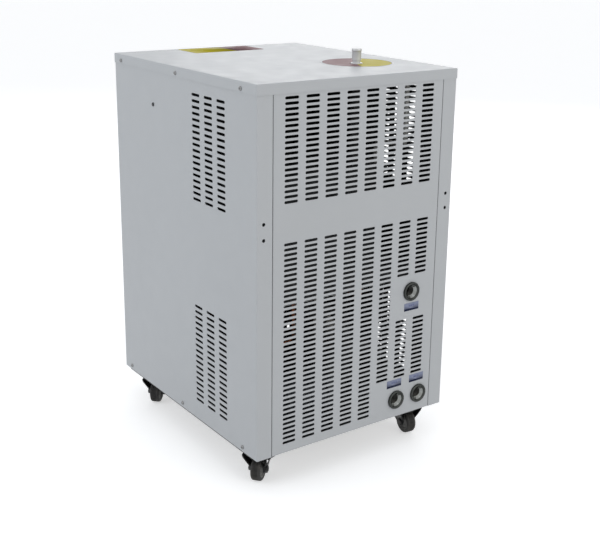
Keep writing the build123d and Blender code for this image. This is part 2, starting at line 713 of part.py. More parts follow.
def water_tank():
    """Open insulated box on the shelf, with outlet, return and drain stubs in its floor."""
    width, depth, height = TANK_SIZE
    middle = Pos(0, TANK_Y, SHELF_TOP + height / 2)
    tank = fillet((middle * Box(width, depth, height)).edges().filter_by(Axis.Z), TANK_CORNER)
    inside = middle * Pos(0, 0, TANK_WALL) * Box(width - 2 * TANK_WALL, depth - 2 * TANK_WALL, height)
    tank -= fillet(inside.edges().filter_by(Axis.Z), TANK_CORNER - TANK_WALL)
    for x, y in shelf_hole_places():
        start = (x, y, SHELF_TOP - STUB_LENGTH)
        tank += rod(BARB_R, start, (0, 0, 1), STUB_LENGTH)
        tank -= rod(PORT_WAY_R, start, (0, 0, 1), STUB_LENGTH + TANK_WALL)
    return tank


def shelf_hole_places():
    """Where the tank's stubs pass through the shelf: pump outlet, return and drain."""
    return [(PUMP_X, TANK_OUTLET_Y), TANK_RETURN, TANK_DRAIN]


def tank_lid():
    """Lid with a lip round the tank, and holes for the filler and the vent."""
    width, depth, _ = TANK_SIZE
    lap = TANK_LID_LAP
    top = tank_top()
    skirt = TANK_LID_SKIRT
    outer = Pos(0, TANK_Y, top + TANK_LID_T / 2 - skirt / 2)
    lid = outer * Box(width + 2 * lap, depth + 2 * lap, TANK_LID_T + skirt)
    lid = fillet(lid.edges().filter_by(Axis.Z), TANK_CORNER + lap)
    hollow = Pos(0, TANK_Y, top - skirt / 2) * Box(width + 2 * SEAT, depth + 2 * SEAT, skirt)
    lid -= fillet(hollow.edges().filter_by(Axis.Z), TANK_CORNER + SEAT)
    lid -= rod(FILLER_BORE_R, (FILLER_X, FILLER_Y, top), (0, 0, 1), TANK_LID_T)
    vent_x, vent_y = vent_place()
    stub_r = VENT_R - VENT_WALL - HOLE_FIT
    lid += rod(stub_r, (vent_x, vent_y, top + TANK_LID_T), (0, 0, 1), VENT_STUB)
    return lid - rod(stub_r / 2, (vent_x, vent_y, top), (0, 0, 1), TANK_LID_T + VENT_STUB)


def vent_place():
    """Where the vent stub stands on the tank lid."""
    return VENT_X, TANK_Y + TANK_SIZE[1] / 2 - VENT_EDGE


def vent_hose():
    """Pale vent hose: up from the lid, back to the rear panel and up beside it."""
    x, y = vent_place()
    foot = tank_top() + TANK_LID_T + SEAT
    near = HALF_D - LIP - VENT_R - 5 * SEAT
    knee = foot + VENT_RISE - VENT_BENDS[0]
    end = UNDER_COVER - SKIRT
    points = [(x, y, foot), (x, y, knee), (x + VENT_SHIFT, near, foot + VENT_RISE),
              (x + VENT_SHIFT, near, end)]
    return pipe(points, list(VENT_BENDS), VENT_R, VENT_WALL)


def circulation_pump():
    """Horizontal pump: ribbed motor, volute head, side inlet and top outlet, on a foot."""
    axis_z = TRAY_FLOOR + PUMP_RISE
    out = (1, 0, 0)
    start = PUMP_X - PUMP_HEAD_LENGTH
    pump = rod(PUMP_HEAD_R, (start, PUMP_Y, axis_z), out, PUMP_HEAD_LENGTH)
    pump = fillet(pump.edges(), PUMP_EDGE)
    pump += rod(PUMP_MOTOR_R - PUMP_EDGE, (PUMP_X, PUMP_Y, axis_z), out, PUMP_MOTOR_LENGTH)
    for rib_x in rows(PUMP_X + PUMP_RIB_PITCH, PUMP_RIB_PITCH, PUMP_RIBS):
        pump += rod(PUMP_MOTOR_R, (rib_x, PUMP_Y, axis_z), out, PUMP_RIB_PITCH / 2)
    near, far = PUMP_X + PUMP_FOOT_GAP, PUMP_X + PUMP_MOTOR_LENGTH - PUMP_FOOT_GAP
    half = PUMP_FOOT_WIDTH / 2
    foot_top = TRAY_FLOOR + PUMP_FOOT_T
    pump += block(near, far, PUMP_Y - half, PUMP_Y + half, TRAY_FLOOR, foot_top)
    pump += block(near + PUMP_EDGE, far - PUMP_EDGE, PUMP_Y - half / 2, PUMP_Y + half / 2, foot_top,
                  axis_z - PUMP_MOTOR_R + 2 * PUMP_EDGE)
    pump += rod(BARB_R, (start - BARB_LENGTH, PUMP_Y, axis_z), out, BARB_LENGTH + PUMP_EDGE)
    outlet = (start + PUMP_HEAD_LENGTH / 2, PUMP_Y + PUMP_OUTLET_Y, axis_z)
    return pump + rod(BARB_R, outlet, (0, 0, 1), PUMP_HEAD_R + BARB_LENGTH)


def hose(points):
    """Black hose whose ends slide over the barbs."""
    bore = BARB_R + HOLE_FIT
    return pipe(points, [HOSE_BEND] * (len(points) - 2), bore + HOSE_WALL, HOSE_WALL)


def water_hoses():
    """Hoses of the water circuit, and the straight one from the filler to the tank."""
    axis_z = TRAY_FLOOR + PUMP_RISE
    pump_in = PUMP_X - PUMP_HEAD_LENGTH - 2
    pump_out = PUMP_X - PUMP_HEAD_LENGTH / 2
    outlet, inlet, drain = shelf_hole_places()
    drain_turn = drain[1] + 2.5 * HOSE_BEND
    under_tank = SHELF_TOP - 2
    over_pump = axis_z + PUMP_HEAD_R
    high = over_pump + SUCTION_LOOP_RISE
    water_x, water_y, low_z, high_z = evaporator_water_ports()
    on_barb = HALF_D - PORT_BODY_LENGTH - 1
    return_x, return_z = PORTS["return_port"]
    supply_x, supply_z = PORTS["supply_port"]
    drain_x, drain_z = PORTS["drain_port"]
    suction_x = pump_in - 2 * HOSE_BEND
    delivery_y, delivery_z = PUMP_Y + PUMP_OUTLET_Y, over_pump + 2 * HOSE_BEND
    turn_y = PUMP_Y - PUMP_FOOT_GAP
    runs = [
        [(*outlet, under_tank), (*outlet, high), (suction_x, outlet[1], high),
         (suction_x, PUMP_Y, high - 2 * HOSE_BEND), (suction_x, PUMP_Y, axis_z), (pump_in, PUMP_Y, axis_z)],
        [(pump_out, delivery_y, over_pump - DELIVERY_DROP), (pump_out, delivery_y, delivery_z),
         (supply_x, delivery_y, delivery_z), (supply_x, delivery_y, supply_z),
         (supply_x, on_barb, supply_z)],
        [(return_x, on_barb, return_z), (return_x, turn_y, return_z), (return_x, turn_y, high_z),
         (water_x, water_y, high_z)],
        [(water_x, water_y, low_z), (water_x, inlet[1], low_z), (*inlet, low_z), (*inlet, under_tank)],
        [(drain_x, on_barb, drain_z), (drain_x, drain_turn, drain_z), (drain[0], drain_turn, drain_z),
         (*drain, drain_z), (*drain, under_tank)],
    ]
    filler_bore = FILLER_STEM_R + HOLE_FIT
    filler_foot = tank_top() + TANK_LID_T
    filler_top = UNDER_COVER - FILLER_NUT_T - SEAT
    filler_run = [(FILLER_X, FILLER_Y, filler_foot), (FILLER_X, FILLER_Y, filler_top)]
    return [hose(run) for run in runs] + [pipe(filler_run, None, filler_bore + HOSE_WALL, HOSE_WALL)]


# Refrigeration circuit

def evaporator_water_ports():
    """Across, along, low and high of the two water stubs' roots, with the hoses just clear of the plate."""
    middle_z = TRAY_FLOOR + EVAPORATOR_SIZE[2] / 2
    across, up = EVAPORATOR_PORTS
    face = EVAPORATOR_Y + EVAPORATOR_SIZE[1] / 2 + SEAT
    return EVAPORATOR_X + across, face, middle_z - up, middle_z + up


def plate_evaporator():
    """Brazed plate pack standing on the tray, with two water stubs and two refrigerant stubs."""
    width, depth, height = EVAPORATOR_SIZE
    across, up = EVAPORATOR_PORTS
    middle_z = TRAY_FLOOR + height / 2
    start_y = EVAPORATOR_Y - depth / 2
    pitch = depth / EVAPORATOR_PLATES
    rear = facing(EVAPORATOR_X, start_y, middle_z, (0, 1, 0))
    corner, lip = EVAPORATOR_CORNER, EVAPORATOR_LIP
    core = RectangleRounded(width - 2 * lip, height - 2 * lip, corner - lip)
    pack = extrude(rear * core, depth)
    for i in range(EVAPORATOR_PLATES):
        plate = rear.offset(i * pitch) * RectangleRounded(width, height, corner)
        pack += extrude(plate, pitch / 2)
    face_y = start_y + depth
    for dz in (-up, up):
        for x, radius, way in ((EVAPORATOR_X + across, BARB_R, PORT_WAY_R),
                               (EVAPORATOR_X - across, SUCTION_R + 2, SUCTION_R)):
            start = (x, face_y, middle_z + dz)
            length = STUB_LENGTH if radius == BARB_R else STUB_LENGTH / 2
            pack += rod(radius, start, (0, 1, 0), length)
            pack -= rod(way, start, (0, 1, 0), length)
    return pack


def compressor():
    """Hermetic shell with domed ends, a seam, a foot plate and two stubs."""
    foot_z = TRAY_FLOOR + MOUNT_HEIGHT
    r, h = COMPRESSOR_R, COMPRESSOR_HEIGHT
    dome, seam = COMPRESSOR_DOME, COMPRESSOR_SEAM
    seam_z = h * COMPRESSOR_SEAM_SHARE
    outline = [(0, 0), (r - dome, 0), (r - dome / 3, dome / 3), (r, dome), (r, seam_z), (r + seam, seam_z),
               (r + seam, seam_z + 2 * seam), (r, seam_z + 2 * seam), (r, h - dome),
               (r - dome / 4, h - dome / 2), (r - dome, h - dome / 8), (0, h)]
    place = Pos(COMPRESSOR_X, COMPRESSOR_Y, foot_z)
    shell = turned(outline, place)
    ear = MOUNT_R + COMPRESSOR_EAR
    span = 2 * (COMPRESSOR_FOOT + ear)
    shell += place * extrude(RectangleRounded(span, span, ear), COMPRESSOR_PLATE_T)
    for x, y in compressor_feet():
        shell -= rod(MOUNT_BOLT_R + SEAT, (x, y, foot_z), (0, 0, 1), COMPRESSOR_PLATE_T)
    reach = r + COMPRESSOR_STUB
    middle = (COMPRESSOR_X, COMPRESSOR_Y)
    shell += rod(PIPE_R + 1.5, (*middle, foot_z + DISCHARGE_RISE), (0, -1, 0), reach)
    shell += rod(SUCTION_R + 1.5, (*middle, foot_z + SUCTION_RISE), (-1, 0, 0), reach)
    box_face = COMPRESSOR_X + r
    box_depth, box_width, box_height = TERMINAL_BOX
    box_z = seam_z + 4 * seam
    return shell + block(box_face - box_depth, box_face + box_depth, COMPRESSOR_Y - box_width / 2,
                         COMPRESSOR_Y + box_width / 2, box_z, box_z + box_height)


def compressor_feet():
    """Centres of the compressor's four mounts."""
    return [(COMPRESSOR_X + sx * COMPRESSOR_FOOT, COMPRESSOR_Y + sy * COMPRESSOR_FOOT)
            for sx in (-1, 1) for sy in (-1, 1)]


def compressor_mounts():
    """Rubber mounts between the tray and the compressor's foot plate."""
    bore, waist = MOUNT_BOLT_R + HOLE_FIT, MOUNT_R - MOUNT_WAIST
    third = MOUNT_HEIGHT / 3
    outline = [(bore, 0), (MOUNT_R, 0), (MOUNT_R, third - MOUNT_WAIST / 2), (waist, third + MOUNT_WAIST / 2),
               (waist, 2 * third - MOUNT_WAIST / 2), (MOUNT_R, 2 * third + MOUNT_WAIST / 2),
               (MOUNT_R, MOUNT_HEIGHT), (bore, MOUNT_HEIGHT)]
    return [turned(outline, Pos(x, y, TRAY_FLOOR)) for x, y in compressor_feet()]


def mount_bolts():
    """Bolts through the foot plate and the rubber mounts into the tray."""
    head_z = TRAY_FLOOR + MOUNT_HEIGHT + COMPRESSOR_PLATE_T
    bolts = []
    for x, y in compressor_feet():
        washer_r, washer_t = MOUNT_WASHER
        bolt = rod(washer_r, (x, y, head_z), (0, 0, 1), washer_t)
        bolt += hexagon(MOUNT_HEAD[0], (x, y, head_z + washer_t), (0, 0, 1), MOUNT_HEAD[1])
        bolts.append(bolt + rod(MOUNT_BOLT_R, (x, y, head_z), (0, 0, -1), head_z - CASTER_HEIGHT))
    return bolts


def coil_rows():
    """Heights of the coil's tube rows."""
    pitch = COIL_HEIGHT / COIL_ROWS
    return rows(TRAY_FLOOR + pitch / 2, pitch, COIL_ROWS)


def condenser_coil():
    """Fin pack between two end plates, with the return bends of its two columns of tubes."""
    half, front = COIL_WIDTH / 2, COIL_FRONT - HALF_D
    rear = front + COIL_DEPTH
    inner = half - END_PLATE_T
    pitch = 2 * inner / COIL_FINS
    outline = []
    for i in range(COIL_FINS):
        left = -inner + i * pitch
        outline += [(left, front), (left + FIN_T, front), (left + FIN_T, front + FIN_DEPTH),
                    (left + pitch, front + FIN_DEPTH)]
    for i in reversed(range(COIL_FINS)):
        left = -inner + i * pitch
        outline += [(left + pitch, rear - FIN_DEPTH), (left + FIN_T, rear - FIN_DEPTH),
                    (left + FIN_T, rear), (left, rear)]
    coil = extrude(Plane.XY.offset(TRAY_FLOOR) * make_face(Polyline(*outline, close=True)), COIL_HEIGHT)
    tubes = (front + COIL_DEPTH * 0.25, front + COIL_DEPTH * 0.75)
    bend_r = (tubes[1] - tubes[0]) / 2
    bend_y = (tubes[0] + tubes[1]) / 2
    for side in (-1, 1):
        coil += block(side * inner, side * half, front, rear, TRAY_FLOOR, TRAY_FLOOR + COIL_HEIGHT)
        for z in coil_rows():
            if (side, z) in ((1, coil_rows()[-1]), (-1, coil_rows()[0])):
                coil += rod(PIPE_R + 1, (side * half, tubes[1], z), (side, 0, 0), COMPRESSOR_STUB)
                continue
            ring = Pos(side * half, bend_y, z) * Torus(bend_r, COIL_TUBE_R)
            coil += ring & block(side * half, side * (half + 40), front, rear, z - 10, z + 10)
    return coil


def fan_axis_z():
    """Height of the fan's axis."""
    return TRAY_FLOOR + COIL_HEIGHT / 2


def coil_rear():
    """Rear face of the coil."""
    return COIL_FRONT + COIL_DEPTH - HALF_D


def fan_shroud():
    """Box behind the coil with the fan's opening, its collar and the arms that carry the motor."""
    half, front, t = COIL_WIDTH / 2, coil_rear(), SHROUD_T
    rear = front + SHROUD_DEPTH
    top = TRAY_FLOOR + COIL_HEIGHT
    opening = FAN_R + FAN_TIP_GAP
    axis_z = fan_axis_z()
    shroud = block(-half, half, front, rear, TRAY_FLOOR, top)
    shroud -= block(t - half, half - t, front, rear - t, TRAY_FLOOR + t, top - t)
    collar_start = (0, front + SHROUD_DEPTH / 2, axis_z)
    collar_length = SHROUD_DEPTH / 2 + 4
    shroud += rod(opening + t, collar_start, (0, 1, 0), collar_length)
    shroud -= rod(opening, collar_start, (0, 1, 0), collar_length)
    arm_start = (0, rear - MOTOR_ARM_T / 2, axis_z)
    arms = rod(MOTOR_R, arm_start, (0, 1, 0), MOTOR_ARM_T)
    plane = facing(*arm_start, (0, 1, 0))
    bar = Rectangle(2 * opening + t, MOTOR_ARM_WIDTH)
    for angle in (45, 135):
        arms += extrude(plane * Rot(0, 0, angle) * bar, MOTOR_ARM_T)
    return shroud + arms - rod(MOTOR_BOSS_R + SEAT, arm_start, (0, 1, 0), MOTOR_ARM_T)


def fan_motor():
    """Fan motor behind the arms, with its boss and shaft."""
    arms_rear = coil_rear() + SHROUD_DEPTH + MOTOR_ARM_T / 2
    axis_z = fan_axis_z()
    motor = rod(MOTOR_R, (0, arms_rear, axis_z), (0, 1, 0), MOTOR_LENGTH)
    motor = fillet(motor.edges(), 3)
    motor += rod(MOTOR_BOSS_R, (0, arms_rear, axis_z), (0, -1, 0), MOTOR_ARM_T)
    shaft_length = arms_rear - coil_rear() - FAN_GAP - 4
    return motor + rod(MOTOR_SHAFT_R, (0, arms_rear, axis_z), (0, -1, 0), shaft_length)


def fan_blades():
    """Fan with twisted blades on a hollow hub."""
    start_y = coil_rear() + FAN_GAP
    axis_z = fan_axis_z()
    outline = [(0, 0), (FAN_HUB_R - 3, 0), (FAN_HUB_R, 3), (FAN_HUB_R, FAN_HUB_LENGTH),
               (FAN_HUB_R - 3, FAN_HUB_LENGTH), (FAN_HUB_R - 3, 4), (9, 4), (9, FAN_HUB_LENGTH),
               (0, FAN_HUB_LENGTH)]
    fan = turned(outline)
    middle = FAN_HUB_LENGTH / 2
    blade_ring = Cylinder(FAN_R, FAN_HUB_LENGTH) - Cylinder(FAN_HUB_R - 1.5, FAN_HUB_LENGTH)
    blade_ring = Pos(0, 0, middle) * blade_ring
    for i in range(FAN_BLADES):
        sections = []
        for radius, chord, pitch in zip((FAN_HUB_R - 4, FAN_R + 4), BLADE_CHORDS, BLADE_PITCHES):
            plane = Plane(origin=(radius, 0, middle), x_dir=(0, 1, 0), z_dir=(1, 0, 0))
            sections.append(plane * Rot(0, 0, pitch) * Rectangle(chord, BLADE_T))
        blade = loft(sections, ruled=True) & blade_ring
        fan += Rot(0, 0, i * 360 / FAN_BLADES) * blade
    shaft_depth = FAN_HUB_LENGTH - 3
    fan -= Pos(0, 0, FAN_HUB_LENGTH - shaft_depth / 2) * Cylinder(MOTOR_SHAFT_R + PIN_FIT, shaft_depth)
    return facing(0, start_y, axis_z, (0, 1, 0)).location * fan


def drier_foot():
    """Underside of the filter drier."""
    return TRAY_FLOOR + DRIER_RISE


def filter_drier():
    """Spun copper drier with tapered ends."""
    r, h, end = DRIER_R, DRIER_LENGTH, PIPE_R + 1.2
    outline = [(0, 0), (end, 0), (end, 6), (r, 16), (r, h - 16), (end, h - 6), (end, h), (0, h)]
    return turned(outline, Pos(DRIER_X, DRIER_Y, drier_foot()))


def refrigerant_pipes():
    """Discharge, liquid and suction pipes between compressor, coil, drier and evaporator."""
    foot_z = TRAY_FLOOR + MOUNT_HEIGHT
    reach = COMPRESSOR_R + COMPRESSOR_STUB
    hot_z = foot_z + DISCHARGE_RISE
    cold_z = foot_z + SUCTION_RISE
    coil_end = COIL_WIDTH / 2 + COMPRESSOR_STUB
    coil_out = coil_end + 22
    tube_y = coil_rear() - COIL_DEPTH * 0.25
    low_row, high_row = coil_rows()[0], coil_rows()[-1]
    across, up = EVAPORATOR_PORTS
    gas_x = EVAPORATOR_X - across
    gas_y = EVAPORATOR_Y + EVAPORATOR_SIZE[1] / 2 + STUB_LENGTH / 2
    evaporator_z = TRAY_FLOOR + EVAPORATOR_SIZE[2] / 2
    liquid_z = TRAY_FLOOR + EVAPORATOR_SIZE[2] + 24
    liquid_x = gas_x + 28
    drier_top = drier_foot() + DRIER_LENGTH
    hot_y = COMPRESSOR_Y - reach - 30
    cold_x = COMPRESSOR_X - reach - 32
    cold_top = liquid_z + 20
    hot = [(COMPRESSOR_X, COMPRESSOR_Y - reach, hot_z), (COMPRESSOR_X, hot_y, hot_z),
           (coil_out, hot_y, hot_z), (coil_out, hot_y, high_row), (coil_out, tube_y, high_row),
           (coil_end, tube_y, high_row)]
    liquid = [(-coil_end, tube_y, low_row), (-coil_out, tube_y, low_row), (-coil_out, DRIER_Y, low_row),
              (DRIER_X, DRIER_Y, low_row), (DRIER_X, DRIER_Y, drier_foot())]
    metered = [(DRIER_X, DRIER_Y, drier_top), (DRIER_X, DRIER_Y, liquid_z), (liquid_x, DRIER_Y, liquid_z),
               (liquid_x, gas_y + 25, liquid_z), (liquid_x, gas_y + 25, evaporator_z - up),
               (gas_x, gas_y + 25, evaporator_z - up), (gas_x, gas_y, evaporator_z - up)]
    cold = [(gas_x, gas_y, evaporator_z + up), (gas_x, COMPRESSOR_Y, evaporator_z + up),
            (gas_x, COMPRESSOR_Y, cold_top), (cold_x, COMPRESSOR_Y, cold_top),
            (cold_x, COMPRESSOR_Y, cold_z), (COMPRESSOR_X - reach, COMPRESSOR_Y, cold_z)]
    pipes = [pipe(run, [PIPE_BEND] * (len(run) - 2), PIPE_R, PIPE_WALL) for run in (hot, liquid, metered)]
    return pipes + [pipe(cold, [PIPE_BEND + 6] * (len(cold) - 2), SUCTION_R, PIPE_WALL)]


# Electrical parts and controls

def control_bracket():
    """Folded sheet standing on the shelf, for the electrical parts."""
    half, height = BRACKET_SIZE[0] / 2, BRACKET_SIZE[1]
    rear = BRACKET_Y + BRACKET_T
    foot_end = BRACKET_Y + BRACKET_FOOT
    bracket = block(-half, half, BRACKET_Y, rear, SHELF_TOP, SHELF_TOP + height)
    return bracket + block(-half, half, BRACKET_Y, foot_end, SHELF_TOP, SHELF_TOP + BRACKET_T)


def contactor():
    """Contactor on the bracket's front, with a stepped face and its terminals."""
    width, depth, height = CONTACTOR_SIZE
    z = SHELF_TOP + CONTACTOR_RISE
    left, right = CONTACTOR_X - width / 2, CONTACTOR_X + width / 2
    body = block(left, right, BRACKET_Y - depth * 0.7, BRACKET_Y, z - height / 2, z + height / 2)
    body += block(left + 6, right - 6, BRACKET_Y - depth, BRACKET_Y, z - height / 4, z + height / 4)
    for x in columns(CONTACTOR_X, width / 4, 4):
        for side in (-1, 1):
            start = (x, BRACKET_Y - depth * 0.7, z + side * height * 0.38)
            body -= rod(3.2, start, (0, 1, 0), 6)
    return body


def fascia_middle():
    """Height of the fascia's middle."""
    return FOOT + FASCIA_RISE


def control_fascia():
    """Plate on the front panel with the openings of the controls."""
    z = fascia_middle()
    plane = facing(0, -HALF_D, z, (0, -1, 0))
    plate = extrude(plane * RectangleRounded(FASCIA_WIDTH, FASCIA_HEIGHT, 6), FASCIA_T)
    for x, (width, height) in ((CONTROLLER_X, CONTROLLER_BODY), (SWITCH_X, SWITCH_BODY)):
        half_w, half_h = width / 2 + SEAT, height / 2 + SEAT
        plate -= block(x - half_w, x + half_w, -HALF_D - FASCIA_T, -HALF_D, z - half_h, z + half_h)
    for x in LAMP_XS:
        plate -= rod(LAMP_R + SEAT, (x, -HALF_D, z), (0, -1, 0), FASCIA_T)
    return plate


def key_places():
    """Middles of the three keys, across."""
    return columns(CONTROLLER_X, KEY_PITCH, 3)


def temperature_controller():
    """Controller with a bezel in front of the fascia, a display recess and three key wells."""
    z = fascia_middle()
    face = -HALF_D - FASCIA_T
    plane = facing(CONTROLLER_X, face, z, (0, -1, 0))
    bezel = extrude(plane * RectangleRounded(*CONTROLLER_FACE, 3), BEZEL_T)
    half_w, half_h = CONTROLLER_BODY[0] / 2, CONTROLLER_BODY[1] / 2
    unit = bezel + block(CONTROLLER_X - half_w, CONTROLLER_X + half_w, face, face + CONTROLLER_DEPTH,
                         z - half_h, z + half_h)
    front = face - BEZEL_T
    half_w, half_h = WINDOW[0] / 2, WINDOW[1] / 2
    window_z = z + CONTROLLER_FACE[1] / 2 - 4 - half_h
    unit -= block(CONTROLLER_X - half_w, CONTROLLER_X + half_w, front, front + WINDOW_DEPTH,
                  window_z - half_h, window_z + half_h)
    half_w, half_h = KEY_SIZE[0] / 2 + KEY_FIT, KEY_SIZE[1] / 2 + KEY_FIT
    well = KEY_LENGTH - KEY_SHOWS + KEY_TRAVEL + KEY_FIT
    for x in key_places():
        key_z = z - KEY_DROP
        unit -= block(x - half_w, x + half_w, front, front + well, key_z - half_h, key_z + half_h)
    return unit


def key(index):
    """One key of the controller."""
    x, z = key_places()[index], fascia_middle() - KEY_DROP
    front = -HALF_D - FASCIA_T - BEZEL_T - KEY_SHOWS
    body = block(x - KEY_SIZE[0] / 2, x + KEY_SIZE[0] / 2, front, front + KEY_LENGTH,
                 z - KEY_SIZE[1] / 2, z + KEY_SIZE[1] / 2)
    return fillet(body.faces().sort_by(Axis.Y)[0].edges(), 0.5)


def rocker_pivot():
    """Along and up of the rocker's pivot."""
    return ROCKER_BACK - FASCIA_T - HALF_D, fascia_middle()


def switch_frame():
    """Frame of the rocker switch, hollowed for the rocker, with its pivot holes."""
    z = fascia_middle()
    face = -HALF_D - FASCIA_T
    plane = facing(SWITCH_X, face, z, (0, -1, 0))
    frame = extrude(plane * RectangleRounded(*SWITCH_FACE, 2), 2)
    half_w, half_h = SWITCH_BODY[0] / 2, SWITCH_BODY[1] / 2
    frame += block(SWITCH_X - half_w, SWITCH_X + half_w, face, face + SWITCH_DEPTH, z - half_h, z + half_h)
    pivot_y, pivot_z = rocker_pivot()
    half = ROCKER_WIDTH / 2 + ROCKER_FIT
    frame -= rod(ROCKER_R + ROCKER_FIT, (SWITCH_X - half, pivot_y, pivot_z), (1, 0, 0), 2 * half)
    depth = half + ROCKER_PIN_LENGTH
    return frame - rod(ROCKER_PIN_R + PIN_FIT, (SWITCH_X - depth, pivot_y, pivot_z), (1, 0, 0), 2 * depth)


def switch_rocker():
    """Rocker with a hollowed front and two pivot pins, tilted to off."""
    pivot_y, pivot_z = rocker_pivot()
    half = ROCKER_WIDTH / 2
    rocker = rod(ROCKER_R, (-half, 0, 0), (1, 0, 0), 2 * half)
    reach = ROCKER_R + 2
    notch = make_face(Polyline((-reach, -reach), (3 - ROCKER_R, 0), (-reach, reach), close=True))
    rocker -= extrude(Plane(origin=(-half, 0, 0), x_dir=(0, 1, 0), z_dir=(1, 0, 0)) * notch, 2 * half)
    pin = half + ROCKER_PIN_LENGTH
    rocker += rod(ROCKER_PIN_R, (-pin, 0, 0), (1, 0, 0), 2 * pin)
    return Pos(SWITCH_X, pivot_y, pivot_z) * Rot(ROCKER_TILT, 0, 0) * rocker


def indicator_lamps():
    """Two round lamps with domed lenses."""
    lamps = []
    for x in LAMP_XS:
        outline = [(0, -LAMP_DEPTH), (LAMP_R, -LAMP_DEPTH), (LAMP_R, 0), (LAMP_RIM_R, 0),
                   (LAMP_RIM_R, 1), (LAMP_RIM_R - 0.6, 1.6), (LAMP_R, 1.6), (LAMP_R - 1, 3), (0, 3.6)]
        lamps.append(turned(outline, facing(x, -HALF_D - FASCIA_T, fascia_middle(), (0, -1, 0)).location))
    return lamps


def cable_gland():
    """Cable gland through the left side panel, with its domed nut outside and its lock nut inside."""
    start = (-HALF_W, GLAND_Y, FOOT + GLAND_RISE)
    out = (-1, 0, 0)
    gland = hexagon(GLAND_ACROSS, start, out, GLAND_HEX_T)
    plane = facing(*start, out).offset(GLAND_HEX_T)
    dome = extrude(plane * Circle(GLAND_ACROSS / 2 - 1), GLAND_DOME)
    gland += fillet(dome.faces().sort_by(Axis.X)[0].edges(), 4)
    gland += rod(GLAND_R, start, (1, 0, 0), GLAND_TAIL)
    inside = (SHEET - HALF_W, GLAND_Y, FOOT + GLAND_RISE)
    nut = hexagon(GLAND_ACROSS, inside, (1, 0, 0), 4) - rod(GLAND_R + HOLE_FIT, inside, (1, 0, 0), 4)
    length = GLAND_HEX_T + GLAND_DOME + GLAND_TAIL
    tail_end = (GLAND_TAIL - HALF_W, GLAND_Y, FOOT + GLAND_RISE)
    return [gland - rod(GLAND_BORE_R, tail_end, out, length), nut]


# Casters, built about the swivel axis with the wheel trailing along +X, then placed

def crown_top():
    """Upper face of the fork's crown."""
    return CASTER_HEIGHT - CASTER_PLATE_T - RACE_HEIGHT - SEAT


def caster_plates():
    """Top plates, each with its bearing race and riveted kingpin."""
    plates = []
    under = CASTER_HEIGHT - CASTER_PLATE_T
    race_foot = under - RACE_HEIGHT
    head_top = crown_top() - FORK_T - SEAT
    outline = [(0, under), (RACE_R, under), (RACE_R, race_foot + 1), (RACE_R - 1, race_foot),
               (KINGPIN_R, race_foot), (KINGPIN_R, head_top), (KINGPIN_HEAD_R, head_top),
               (KINGPIN_HEAD_R - 2, head_top - KINGPIN_HEAD_H), (0, head_top - KINGPIN_HEAD_H)]
    core = turned(outline)
    for sx in (-1, 1):
        for sy in (-1, 1):
            place = Pos(sx * CASTER_X, sy * CASTER_Y)
            plate = extrude(Plane.XY.offset(under) * RectangleRounded(*CASTER_PLATE, 4), CASTER_PLATE_T)
            plate = place * plate
            plates.append((plate - caster_bolt_holes((sx, sy))).solid() + place * core)
    return plates


def caster_bolts():
    """Bolts from under the plates, with nuts on the tray floor."""
    pieces = []
    under = CASTER_HEIGHT - CASTER_PLATE_T
    for x, y in caster_bolt_places():
        head = rod(CASTER_BOLT_HEAD_R, (x, y, under), (0, 0, -1), CASTER_BOLT_HEAD_H)
        head = fillet(head.faces().sort_by(Axis.Z)[0].edges(), CASTER_BOLT_HEAD_H * 0.5)
        length = TRAY_FLOOR + CASTER_NUT_T + 1.5 - under
        pieces.append(head + rod(CASTER_BOLT_R, (x, y, under), (0, 0, 1), length))
        nut = hexagon(CASTER_NUT_ACROSS, (x, y, TRAY_FLOOR), (0, 0, 1), CASTER_NUT_T)
        pieces.append(nut - rod(CASTER_BOLT_R + HOLE_FIT, (x, y, TRAY_FLOOR), (0, 0, 1), CASTER_NUT_T))
    return pieces


def caster_place(name):
    """Where a caster's swivel axis stands and which way its wheel trails."""
    end, side = name.split("_")
    x = CASTER_X if side == "right" else -CASTER_X
    y = CASTER_Y if end == "rear" else -CASTER_Y
    return Pos(x, y) * Rot(0, 0, CASTER_HEADINGS[name])


def caster_fork(name):
    """Pressed fork: crown, flared skirt round the race and two legs."""
    top, foot = crown_top(), crown_top() - FORK_T
    skirt_top = CASTER_HEIGHT - CASTER_PLATE_T - 3 * SEAT
    pin = KINGPIN_R + RUNNING_FIT
    outline = [(pin, foot), (CROWN_R, foot), (CROWN_RIM_R, skirt_top), (CROWN_RIM_R - FORK_T, skirt_top),
               (CROWN_R - FORK_T / 2, top), (pin, top)]
    fork = turned(outline)
    boss = Pos(CASTER_TRAIL, WHEEL_R) * Circle(FORK_BOSS_R)
    crown_edge = Line((-CROWN_R, top - 1), (CASTER_TRAIL + FORK_BOSS_R, top - 1))
    leg = make_hull(boss.edges() + crown_edge.edges())
    for side in (-1, 1):
        start = side * FORK_GAP / 2
        side_leg = extrude(Plane.XZ * leg, -side * FORK_T)
        fork += Pos(0, start, 0) * side_leg
    hole = rod(AXLE_R + HOLE_FIT, (CASTER_TRAIL, -FORK_GAP, WHEEL_R), (0, 1, 0), 2 * FORK_GAP)
    return caster_place(name) * (fork - hole)


